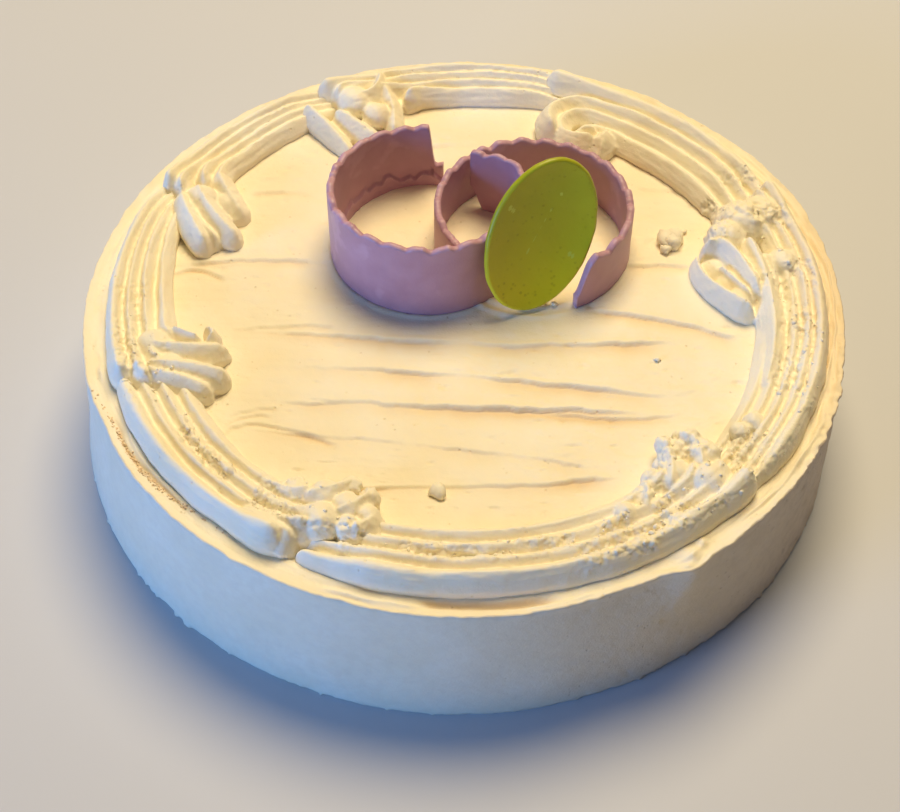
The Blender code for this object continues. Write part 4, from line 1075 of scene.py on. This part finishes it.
def make_swag(index, material):
    """Ridges, folds and lumps fused into one skin, then pushed along its normals by a grain, by
    streaks that run along it and, where it is torn, by peaks, lumps, crumbs and pits."""
    swag = SWAGS[index]
    tubes = [ridge_tube(swag, k, 10 * index + k) for k in range(len(swag["ridges"]))]
    tubes.extend(fold_tube(fold) for fold in swag["folds"])
    shapes = [(tube.reshape(-1, 3), tube_faces(*tube.shape[:2])) for tube in tubes]
    shapes.extend(lump_ball(lump) for lump in swag["lumps"])
    mesh = fused(*joined(shapes))
    place, facing = read_points(mesh)
    torn = torn_share(place) * smooth((noise(place, TORN_PATCH, 221) + 0.35) / 0.6)
    streaks = relief(unrolled(place, swag["tail"] + 30.0), *RIDGE_STREAKS)
    push = relief(place, *RIDGE_GRAIN) + streaks * (1.0 - 0.6 * torn)
    peaks = np.clip(1.0 - np.abs(relief(place, *TORN_PEAKS) / MM), 0.0, 1.0) ** 3
    crumbly = 0.35 * MM * (peaks - 0.3) + relief(place, *TORN_LUMPS) + relief(place, *TORN_CRUMBLE)
    push = push + torn * (crumbly - pitted(place, *TORN_PITS))
    mesh.vertices.foreach_set("co", (place + facing * push[:, None]).ravel())
    mesh.update()
    node = "swag_%d" % (index + 1)
    return put_object("piped_" + node, mesh, material, (node,), outward=False)


# --- chocolate curls -------------------------------------------------------------------
def scallop(degrees, radius):
    """Wavy edge: rounded crests with tighter hollows between them."""
    distance = np.radians(degrees) * radius
    wave = np.abs(np.sin(math.pi * distance / SCALLOP_PITCH))
    return SCALLOP_DEPTH * (wave - 0.6)


def curl_skin(name, centre, degrees, radius, low, high, ledge, seed, material, node):
    """Upright strip on an arc: up the outside, over a rounded edge, down the inside with a torn
    ledge near its foot. Columns run round the section, rows along the arc."""
    up = np.linspace(0.0, 1.0, CURL_SIDE_POINTS)
    over = np.linspace(0.0, math.pi, CURL_EDGE_POINTS + 2)[1:-1]
    upright, level = np.ones(CURL_SIDE_POINTS), np.ones(CURL_EDGE_POINTS)
    side = np.concatenate([upright, np.cos(over), -upright])
    lift = np.concatenate([up, level, up[::-1]])
    cap = np.concatenate([0.0 * upright, np.sin(over), 0.0 * upright])
    line = places(np.radians(degrees) * CURL_RADIUS, 0.0, 0.01 * seed)
    high = (high + relief(line, *CURL_CHIPS, seed + 7))[:, None]
    low = low[:, None]
    z = low + (high - CURL_EDGE - low) * lift + CURL_EDGE * cap
    angle = np.radians(degrees)[:, None]
    ledge_top = low + LEDGE_HEIGHT + relief(line, *LEDGE_TEAR, seed, 0.6)[:, None]
    shelf = ledge[:, None] * smooth((ledge_top - z) / LEDGE_SLOPE) * (side < 0.0)
    distance = radius[:, None] + 0.5 * CURL_THICKNESS * side - LEDGE_DEPTH * shelf
    points = places(centre[0] + distance * np.cos(angle), centre[1] + distance * np.sin(angle), z)
    ripple = relief(points, *CURL_RIPPLE, seed + 3) * side
    points = points + places(ripple * np.cos(angle), ripple * np.sin(angle))
    return put_mesh(name, points, tube_faces(*points.shape[:2]), material, (node,))


def make_left_curl(material):
    """Left curl: its start is tucked inward, dipped and lifted off the cream like a flap, its upper
    edge rises toward the front, and its end at the back is a low step."""
    degrees = np.linspace(LEFT_START, LEFT_END, LEFT_ROWS)
    tuck = smooth((degrees - FLAP_ANGLE) / (LEFT_START - FLAP_ANGLE))
    front = 0.5 - 0.5 * np.sin(np.radians(degrees))
    high = LEFT_TOP + LEFT_FRONT_RISE * front - FLAP_DIP * tuck + scallop(degrees, CURL_RADIUS)
    from_back = degrees - LEFT_END
    high = high - LEFT_BACK_STEP * (1.0 - smooth((from_back - 5.0) / 4.0))
    lifted = smooth((degrees - FLAP_LIFT_ANGLE) / (LEFT_START - FLAP_LIFT_ANGLE))
    low = RIDGE_BASE - CURL_SUNK + FLAP_LIFT * lifted
    ledge = smooth(1.0 - (from_back - LEDGE_END) / LEDGE_FADE)
    return curl_skin("lilac_curl_left", LEFT_CENTRE, degrees, CURL_RADIUS - FLAP_TUCK * tuck, low, high,
                     ledge, 301, material, "curl_left")


def make_right_curl(material):
    """Right curl: level, with a slanted start inside the left one."""
    degrees = np.linspace(RIGHT_START, RIGHT_END, RIGHT_ROWS)
    slant = smooth((degrees - RIGHT_START) / RIGHT_SLANT_ANGLE)
    high = RIGHT_TOP - RIGHT_SLANT * (1.0 - slant) + scallop(degrees, CURL_RADIUS)
    even = np.ones_like(degrees)
    low, radius = even * (RIDGE_BASE - CURL_SUNK), even * CURL_RADIUS
    return curl_skin("lilac_curl_right", RIGHT_CENTRE, degrees, radius, low, high,
                     0.0 * even, 331, material, "curl_right")


# --- dished oval ---------------------------------------------------------------------------
def make_oval(material):
    """Dish: rings from the front's middle out to the rim, round it, and back to the rear's
    middle. The depth is the dish's height times 1 - share ** 2.4, plus or minus half the wall."""
    half = 0.5 * OVAL_THICKNESS
    share = np.linspace(0.0, 1.0, OVAL_RINGS)[1:] ** 0.8
    bend = np.radians(np.linspace(-90.0, 90.0, 11)[1:-1])
    flat, rim = np.zeros(len(share)), np.ones(len(bend))
    ring_share = np.concatenate([share, rim, share[::-1]])
    out = OVAL_RIM * np.concatenate([flat, np.cos(bend), flat])[:, None]
    deep = np.concatenate([flat - 1.0, np.sin(bend), flat + 1.0])[:, None]
    angle = np.linspace(0.0, math.tau, OVAL_SPOKES, endpoint=False)
    share, angle = np.meshgrid(ring_share, angle, indexing="ij")
    across = ((OVAL_HALF_WIDTH - OVAL_RIM) * share + out) * np.cos(angle)
    up = ((OVAL_HALF_LENGTH - OVAL_RIM) * share + out) * np.sin(angle)
    depth = OVAL_DISH * (1.0 - share ** OVAL_DISH_POWER) + half * deep
    points = places(across, depth, up)
    points[..., 1] += relief(points, *OVAL_RIPPLE)
    wear = bump(share - 1.0, 0.06) * relief(points, *OVAL_WEAR) / MM
    points = points * (1.0 + wear[..., None] * (1.0, 0.0, 1.0))
    poles = [(0.0, OVAL_DISH - half, 0.0), (0.0, OVAL_DISH + half, 0.0)]
    points, faces = with_poles(points, poles)
    turn = Euler(np.radians((-OVAL_LEAN, OVAL_ROLL, OVAL_YAW)), "YXZ").to_matrix()
    points = points @ np.array(turn).T + OVAL_CENTRE
    return put_mesh("green_oval_dish", points, faces, material, ("green_oval",))


# --- crumbs -------------------------------------------------------------------------------
def crumb_mesh(name, crumbs, seed, material, detail=1):
    """One joined mesh of broken bits, each given by its place and size: a ball that is cut off at
    random planes, so a point in direction d lies at the least of CRUMB_CUT / (d . n) over the
    planes' normals n. Each ball is also stretched and turned at random."""
    random = np.random.default_rng(seed)
    crumbs = np.array(crumbs, float)
    bm = bmesh.new()
    bmesh.ops.create_icosphere(bm, subdivisions=detail, radius=1.0)
    ball = np.array([tuple(v.co) for v in bm.verts])
    tris = np.array([[v.index for v in f.verts] for f in bm.faces])
    bm.free()
    count = len(crumbs)
    normals = random.normal(0.0, 1.0, (count, CRUMB_PLANES, 3))
    normals = normals / np.linalg.norm(normals, axis=-1, keepdims=True)
    reach = np.min(CRUMB_CUT / np.maximum(np.einsum("vj,ckj->cvk", ball, normals), 0.5), axis=-1)
    shape = ball[None] * reach[..., None]
    shape = shape * random.uniform(0.6, 1.25, (count, 1, 3)) * (1.0, 1.0, CRUMB_SQUASH)
    x, y, z = np.moveaxis(shape, -1, 0)
    spin = random.uniform(0.0, math.tau, count)
    c, s = np.cos(spin)[:, None], np.sin(spin)[:, None]
    points = places(x * c - y * s, x * s + y * c, z) * crumbs[:, None, 3:] + crumbs[:, None, :3]
    faces = tris[None] + (np.arange(count) * len(ball))[:, None, None]
    return put_mesh(name, points, faces.reshape(-1, 3).tolist(), material, outward=False)


def drop_to(tree, x, y):
    """Height of the surface under a point, or None where there is none."""
    hit = tree.ray_cast(Vector((float(x), float(y), 0.09)), Vector((0.0, 0.0, -1.0)))[0]
    return None if hit is None else hit.z


def surface_tree(names):
    """The surfaces of named pieces, ready to be met by a falling crumb."""
    meshes = [bpy.data.objects[name].data for name in names]
    shapes = ((read_points(mesh)[0], (face.vertices for face in mesh.polygons)) for mesh in meshes)
    points, faces = joined(shapes)
    return BVHTree.FromPolygons(points.tolist(), faces)


def make_crumbs(cream, sponge):
    """Crumbs strewn at random over the torn places of the border, a wandering line of sponge crumbs
    on the band, each on the surface below it, and the loose bits at their given places."""
    random = np.random.default_rng(7)
    tree = surface_tree(["piped_swag_%d" % (i + 1) for i in range(len(SWAGS))])
    crumbs = []
    for start, end, inner, outer, strength in TORN:
        for _ in range(int(CRUMBS_PER_DEGREE * (end - start) * strength)):
            x, y = polar(random.uniform(inner, outer) * MM, random.uniform(start, end))
            z = drop_to(tree, x, y)
            size = random.uniform(0.3, 1.0) ** 2 * MM
            if z is not None:
                crumbs.append((x, y, z - 0.1 * size, size))
    crumb_mesh("cream_crumbs", crumbs, 11, cream)

    crumbs = []
    tree = surface_tree(["cream_band"])
    for _ in range(SPONGE_CRUMBS):
        degrees = random.normal(SPONGE_ANGLE, SPONGE_SPREAD)
        wander = 0.5 * math.sin(math.radians(degrees * 17.0))
        radius = SPONGE_RADIUS + SPONGE_DRIFT * (degrees - SPONGE_START) + wander
        radius = (radius + random.normal(0.0, 0.4)) * MM
        x, y = polar(radius, degrees)
        z = drop_to(tree, x, y)
        crumbs.append((x, y, BAND_HEIGHT if z is None else z, random.uniform(0.25, 0.65) * MM))
    crumb_mesh("sponge_crumbs", crumbs, 13, sponge)

    crumbs = []
    for x, y, z, size, count, spread in BITS:
        for _ in range(count):
            place = np.array((x, y, z)) * MM + random.normal(0.0, spread, 3) * (MM, MM, 0.5 * MM)
            crumbs.append((*place, size * random.uniform(0.6, 1.2) * MM))
    crumb_mesh("cream_bits", crumbs, 17, cream, detail=2)


# --- surroundings ------------------------------------------------------------------------------
def area_light(name, place, target, width, energy, colour):
    """A round soft light at a place, turned to a target."""
    light = bpy.data.lights.new(name, "AREA")
    light.shape = "DISK"
    light.size = width
    light.energy = energy
    light.color = colour
    thing = bpy.data.objects.new(name, light)
    thing.location = place
    thing.rotation_euler = (Vector(target) - Vector(place)).to_track_quat("-Z", "Y").to_euler()
    bpy.context.scene.collection.objects.link(thing)


def make_surroundings():
    """Floor, sky, lights and camera."""
    scene = bpy.context.scene
    bpy.ops.mesh.primitive_plane_add(size=FLOOR_SIZE, location=(0.0, 0.0, 0.0))
    floor = bpy.context.object
    floor.name = "floor"
    floor.data.materials.append(floor_material())
    world = bpy.data.worlds.new("studio")
    scene.world = world
    world.use_nodes = True
    sky = world.node_tree.nodes["Background"].inputs
    sky["Color"].default_value = SKY_COLOUR
    sky["Strength"].default_value = SKY_STRENGTH
    for light in LIGHTS:
        area_light(*light)
    camera = bpy.data.cameras.new("camera")
    camera.lens = CAMERA_LENS
    camera.sensor_width = CAMERA_SENSOR
    view = bpy.data.objects.new("camera", camera)
    view.location = CAMERA_PLACE
    view.rotation_euler = (math.radians(CAMERA_TILT), 0.0, 0.0)
    scene.collection.objects.link(view)
    scene.camera = view
    scene.view_settings.view_transform = "Standard"


def main():
    """Surroundings first, then the pieces; the crumbs fall on the finished swags and band."""
    make_surroundings()
    # The second colour of each cream is the painted shade in its bubbles.
    cream = cream_material("spread_cream", (250, 237, 205), (214, 178, 118), (252, 243, 220), 0.8)
    piped = cream_material("piped_cream", (251, 240, 211), (220, 186, 128), (253, 246, 226), 1.0)
    make_top(cream)
    make_wall(cream, side_material())
    for index in range(len(SWAGS)):
        make_swag(index, piped)
    lilac = lilac_material()
    make_left_curl(lilac)
    make_right_curl(lilac)
    make_oval(green_material())
    make_crumbs(piped, sponge_material())


main()
